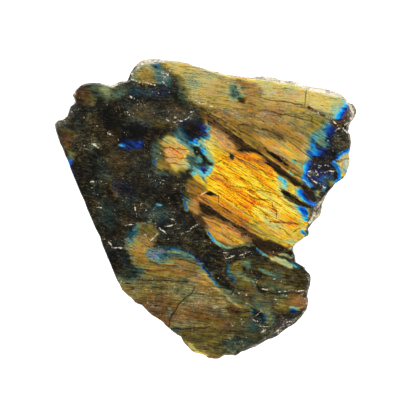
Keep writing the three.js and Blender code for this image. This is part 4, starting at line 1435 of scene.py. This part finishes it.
# The rock drifts from a brown tint to a grey-blue one. A tint multiplies the rock's colour.
ROCK_TINTS = [(0.15, (1, 0.84, 0.58, 1)), (0.5, (0.9, 0.9, 0.78, 1)), (0.85, (0.62, 0.86, 1, 1))]
# Cream of crushed cleavage, also used for painted glints and for painted light along the upper rims.
BRUISE_AND_GLINT_COLOUR = paint(238, 226, 198)
CRACK_COLOUR = paint(14, 11, 8)
# The painted shade's colours: near black, and brown where it thins.
SHADE_COLOUR = paint(9, 8, 6)
SHADE_BROWN = paint(138, 104, 58)
GLEAM_COLOUR = paint(228, 190, 104)
# What a fibre of the film that leans away from the light keeps of its red, green and blue.
FIBRE_SHADE = (0.44, 0.24, 0.12, 1)
# How strongly a fibre that leans toward the light is brightened.
GLINT = (0.44, 0.43, 0.34, 1)

# %% [markdown]
# ## Streaks and lumps
#
# One material covers the whole piece, because the stone is one. It reads the painted numbers and roughens
# them at a scale finer than the net of points. The film's layers are planes, so its streaks are noise
# stretched along a line, level in most of the slab and steeper in the gold panel. Plain noise of several
# sizes gives the clouds, the mottling and the specks.

# %% The noises of the material
stone = bpy.data.materials.new("labradorite")
graph = Graph(stone)
place = graph.node("ShaderNodeTexCoord")["Object"]
LEVEL_TILT, STEEP_TILT = 7, 30


def grain(turn, length, width, detail=3.0, seed=0.0):
    """Noise stretched to streaks: turned by `turn` degrees, `length` long and `width` wide, in metres."""
    inputs = {"Vector": place, "Rotation": (0, 0, math.radians(turn)), "Scale": (length, width, width),
              "Location": (seed, 0, 0)}
    stretched = graph.node("ShaderNodeMapping", {"vector_type": "TEXTURE"}, inputs)["Vector"]
    inputs = {"Vector": stretched, "Scale": 1.0, "Detail": detail, "Roughness": 0.6}
    return graph.node("ShaderNodeTexNoise", None, inputs)["Fac"]


def spread(noise_wire, gain=2.6):
    """The noise's few middle values spread out to about -0.5 to 0.5."""
    return (noise_wire - 0.5) * gain


def lumps(size, detail=2.0, seed=0.0, gain=2.6):
    """Plain noise with lumps of one size."""
    return spread(grain(0, size, size, detail, seed), gain)


def along_grain(length, width, detail=3.0, seed=0.0):
    """Streaks that turn with the painted grain: level ones and steep ones, blended."""
    level, steeper = (
        spread(grain(-tilt, length, width, detail, seed + tilt)) for tilt in (LEVEL_TILT, STEEP_TILT)
    )
    return level + (steeper - level) * steep


tone, flash, glow, scar, wedge, smoke = graph.attributes("tone", "flash", "glow", "scar", "wedge", "smoke")
steep, raw_stone, crust_and_light = graph.attributes("steep", "raw", "crust")
streaks = along_grain(0.012, 0.0012)
hairs = along_grain(0.007, 0.0005, 2.0, 3.0)
splits = along_grain(0.02, 0.0015, 4.0, 7.0)
clouds = lumps(0.006, 3.0, 2.0)
drift = lumps(0.009, 4.0, 12.0, 3.0) + 0.5
mottle = lumps(0.0024, 4.0)
speckle = lumps(0.0008, 2.0, 5.0)
# Noise for the painted glints on the dark rock.
sparkle_noise = lumps(0.0012, 1.0, 8.0)
dashes = spread(grain(-6, 0.0022, 0.0007, 3.0, 6.0))
hairline = (1 - splits.math("ABSOLUTE") * 16).clipped()

# %% [markdown]
# ## The polished face
#
# The noise moves each painted number a little before its colour is looked up: most where the glow is
# half strong, so that the flash frays into the rock along the grain. Fibres of the film that lean away
# from the light are painted darker and those that lean toward it are painted brighter. Then come, one
# over the other, the painted shade, the thin bright edges that are painted highlights, the white of the
# bruises with painted glints among it, and the black of cracks and wedges.

# %% The colour of the polished face
def hair_line(name, width):
    """1 on a drawn hair, falling to 0 at `width` squares to either side of it."""
    near, side = graph.attributes(name, name + "_side")
    return near * (1 - side.math("ABSOLUTE") * (1 / width)).clipped()


half_glow = glow * (1 - glow)
frayed_glow = glow + (1.8 * streaks + 0.8 * hairs) * glow * half_glow + 0.7 * mottle * half_glow
combed_glow = frayed_glow * (1 + 0.34 * streaks + 0.5 * hairs + 0.24 * speckle)
glow_shown = (combed_glow - 1.6 * hairline * glow * (1.1 - glow)).clipped().math("POWER", 1.8)
# The painted shade, frayed along the grain.
shade_shown = (smoke + (3.6 * hairs + 2.6 * streaks + 1.8 * speckle) * smoke * (1.05 - smoke)).clipped()
shimmer = (0.2 * streaks + 0.16 * hairs + 0.08 * clouds + 0.1 * speckle).math("MAXIMUM", -0.07)
flash_shown = flash + shimmer * (0.4 + 0.6 * glow) + 0.05 * shade_shown
lumpy = (0.26 * clouds + 0.28 * mottle + 0.24 * speckle + 0.46 * dashes) * (1 - 1.6 * glow).clipped()
combed = (0.18 + 0.9 * glow) * hairs + 0.5 * glow * streaks + (0.12 + 0.3 * glow) * speckle

rock = graph.ramp(ROCK_COLOURS, tone + lumpy + combed)
rock = graph.mix(1.0, rock, graph.ramp(ROCK_TINTS, drift), "MULTIPLY")
leaning_away = 1.4 * streaks + 4.2 * hairs + 0.4 * mottle + 1.8 * speckle + 0.7 * hairline - 0.2
fibres = leaning_away.clipped() * (0.55 + 0.4 * glow)
film = graph.mix(fibres, graph.ramp(FLASH_COLOURS, flash_shown), FIBRE_SHADE, "MULTIPLY")
leaning_near = -2.6 * hairs - 1.0 * streaks - 1.3 * speckle - 0.16
glints = leaning_near.clipped() * (0.7 + 0.8 * glow) * (0.2 + 1.1 * flash)
film = graph.mix(glints.clipped(), film, GLINT, "DODGE")
surface = graph.mix(glow_shown * (1 - 0.85 * shade_shown), rock, film)

# Deep painted shade turns the face near black, combed with brown.
brown = ((1 - shade_shown) * (1.3 + 2.0 * streaks + 2.4 * hairs + 0.8 * speckle)).clipped()
shadowed = graph.mix(brown, SHADE_COLOUR, SHADE_BROWN)
surface = graph.mix(((shade_shown - 0.25) * 1.4).clipped(), surface, shadowed)
surface = graph.mix(hair_line("gleam", 0.8) * (0.5 + 1.2 * mottle), surface, GLEAM_COLOUR)
# Cream specks of bruising, with painted glints and painted rim light among them.
specks = (scar + 0.6 * dashes + 0.6 * speckle + 0.3 * mottle).step(0.66, 0.92)
broken_line = (3.0 * mottle + 3.0 * dashes + 3.0 * speckle).clipped()
# Painted glints: small bright specks where tiny cleavage faces in the dark rock catch the light.
painted_sparkle = (sparkle_noise + 0.35 * clouds + 0.2 * speckle).step(0.66, 0.8) * (1 - glow_shown) * 0.6
bruise_and_glint_share = (0.85 * specks + painted_sparkle + 1.5 * hair_line("ridge", 0.9) * broken_line).clipped()
surface = graph.mix(bruise_and_glint_share, surface, BRUISE_AND_GLINT_COLOUR)
blackened = (wedge + 0.9 * hairs + 0.9 * speckle).step(-0.7, 0.5) * 0.93
cracked = hair_line("crack", 1.0) * (0.9 + 0.8 * speckle)
surface = graph.mix((blackened + cracked).clipped(), surface, CRACK_COLOUR)

# %% [markdown]
# ## The broken wall and the sawn back
#
# Feldspar cleaves along planes, so the wall is a mosaic of small facets, each as light as the way it
# faces. The cells of a Voronoi pattern stand for them: each has one random number, which makes it lighter
# or darker. The wall also darkens toward the floor. The back was cut by a round saw, which leaves shallow
# arcs: noise on the distance from the saw's middle. It shows only at the height of the back.

# %% The colour of the wall and the back
FACET_SIZE = 0.0045
SAW_STEP = 0.003
SAW_CENTRE = (0.16, -0.3, 0)

cells = graph.node("ShaderNodeTexVoronoi", None, {"Vector": place, "Scale": 1 / FACET_SIZE})["Color"]
facet = graph.node("ShaderNodeSeparateColor", None, {"Color": cells})["Red"] - 0.5
level = graph.node("ShaderNodeSeparateXYZ", None, {"Vector": place})["Z"] * (1 / THICKNESS)
shards = 0.36 + 0.5 * tone * (0.25 + 0.75 * level) + 0.3 * clouds + 0.5 * mottle + 0.6 * speckle
shards = shards + 0.4 * dashes + 0.5 * facet

sawn = (1 - 30 * level).clipped() * raw_stone
ends = {"Vector": place, "Vector_001": SAW_CENTRE}
arc = graph.node("ShaderNodeVectorMath", {"operation": "DISTANCE"}, ends)["Value"]
saw_lines = {"Scale": 1 / SAW_STEP, "Detail": 2.0, "Roughness": 0.6, "W": arc}
saw_marks = spread(graph.node("ShaderNodeTexNoise", {"noise_dimensions": "1D"}, saw_lines)["Fac"])
cut_stone = 0.42 + 0.26 * saw_marks + 0.3 * clouds + 0.25 * mottle + 0.2 * speckle + 0.12 * facet
shards = shards + (cut_stone - shards) * sawn

# Paler along the upper edge: crust, with painted light where the strongest lamp falls on the rim.
crust = (crust_and_light * (0.6 + shards)).clipped()
outside = graph.mix(crust, graph.ramp(BREAK_COLOURS, shards), graph.ramp(CRUST_AND_LIT_EDGE_COLOURS, shards))
outside = graph.mix(specks * (1 - sawn), outside, BRUISE_AND_GLINT_COLOUR)

# %% [markdown]
# ## Shine and grain
#
# The polished face shines, the broken wall is dull, and the sawn back lies between. Bruises are dull too.
# A bump gives the wall its grit and the face the faintest grain of the polish.

# %% Put the stone's material together
FELDSPAR_REFRACTION = 1.56
BUMP_STRENGTH, BUMP_DISTANCE = 0.5, 0.0006

rough = 0.16 + 0.05 * speckle + (0.75 - 0.2 * sawn) * raw_stone + 0.3 * scar
height = 0.9 * shards * raw_stone + 0.03 * hairs + 0.02 * speckle
bump = {"Strength": BUMP_STRENGTH, "Distance": BUMP_DISTANCE, "Height": height}
shader = graph.node("ShaderNodeBsdfPrincipled", None, {
    "Base Color": graph.mix(raw_stone, surface, outside),
    "Roughness": rough.clipped(),
    "Normal": graph.node("ShaderNodeBump", None, bump)["Normal"],
    "IOR": FELDSPAR_REFRACTION,
})["BSDF"]
graph.node("ShaderNodeOutputMaterial", None, {"Surface": shader})
slab_mesh.materials.append(stone)
print("nodes in the material:", len(stone.node_tree.nodes))

# %% [markdown]
# ## Floor, light and camera
#
# A plain pale floor, four soft lamps round the slab and a dim sky. The face is a mirror of what stands
# straight above it, so no lamp hangs there: the lamps stand low enough to stay out of the reflection.

# %% Set the stage
FLOOR_SIDE = 8.0
FLOOR_WHITE, FLOOR_GLOW = 0.9, 0.55
HORIZON_LIGHT, OVERHEAD_LIGHT = 0.8, 0.04
WHITE = (1, 1, 1, 1)


def floor_mesh():
    """One square at height 0 under the slab."""
    half = FLOOR_SIDE / 2
    corners = [(-half, -half, 0), (half, -half, 0), (half, half, 0), (-half, half, 0)]
    mesh = bpy.data.meshes.new("floor")
    mesh.from_pydata(corners, [], [(0, 1, 2, 3)])
    return mesh


floor_material = bpy.data.materials.new("floor")
floor_graph = Graph(floor_material)
floor_shader = floor_graph.node("ShaderNodeBsdfPrincipled", None, {
    "Base Color": (FLOOR_WHITE, FLOOR_WHITE, FLOOR_WHITE, 1), "Roughness": 0.9,
    "Emission Color": WHITE, "Emission Strength": FLOOR_GLOW,
})["BSDF"]
floor_graph.node("ShaderNodeOutputMaterial", None, {"Surface": floor_shader})
floor = bpy.data.objects.new("floor", floor_mesh())
floor.data.materials.append(floor_material)
bpy.context.collection.objects.link(floor)

world = bpy.data.worlds.new("studio")
bpy.context.scene.world = world
world_graph = Graph(world)
direction = world_graph.node("ShaderNodeTexCoord")["Generated"]
rise = world_graph.node("ShaderNodeSeparateXYZ", None, {"Vector": direction})["Z"]
brightness = HORIZON_LIGHT - (HORIZON_LIGHT - OVERHEAD_LIGHT) * rise.step(0.1, 0.6)
sky = world_graph.node("ShaderNodeBackground", None, {"Color": WHITE, "Strength": brightness})["Background"]
world_graph.node("ShaderNodeOutputWorld", None, {"Surface": sky})


# %% Set the lamps
LAMP_DISTANCE, LAMP_SIDE = 1.5, 0.9


def lamp(name, bearing, height, power):
    """A square soft lamp that faces the slab from a bearing and a height, in degrees."""
    light = bpy.data.lights.new(name, "AREA")
    light.size = LAMP_SIDE
    light.energy = power
    lamp_object = bpy.data.objects.new(name, light)
    bpy.context.collection.objects.link(lamp_object)
    turn, rise = math.radians(bearing), math.radians(height)
    level = LAMP_DISTANCE * math.cos(rise)
    lamp_object.location = (level * math.sin(turn), level * math.cos(turn), LAMP_DISTANCE * math.sin(rise))
    lamp_object.rotation_euler = (math.pi / 2 - rise, 0, math.pi - turn)


lamp("north", 0, 52, 19)
lamp("east", 90, 48, 11)
lamp("south", 180, 48, 9)
lamp("west", 270, 48, 11)

# %% [markdown]
# ## Camera
#
# The camera looks straight down on the face. Its height follows from its lens and its sensor: high enough
# for the picture to be as many squares of the sheet wide as PICTURE_SQUARES says.

# %% Set the camera
PICTURE_SQUARES = 416
LENS, SENSOR = 85, 36
CAMERA_OVER = (PICTURE_SQUARES / 2 - SHEET_MIDDLE) * SQUARE * [1, -1]

camera = bpy.data.cameras.new("camera")
camera.lens, camera.sensor_width = LENS, SENSOR
camera_object = bpy.data.objects.new("camera", camera)
camera_object.location = (*CAMERA_OVER, THICKNESS + PICTURE_SQUARES * SQUARE * LENS / SENSOR)
bpy.context.collection.objects.link(camera_object)
bpy.context.scene.camera = camera_object
bpy.context.scene.view_settings.view_transform = "Standard"
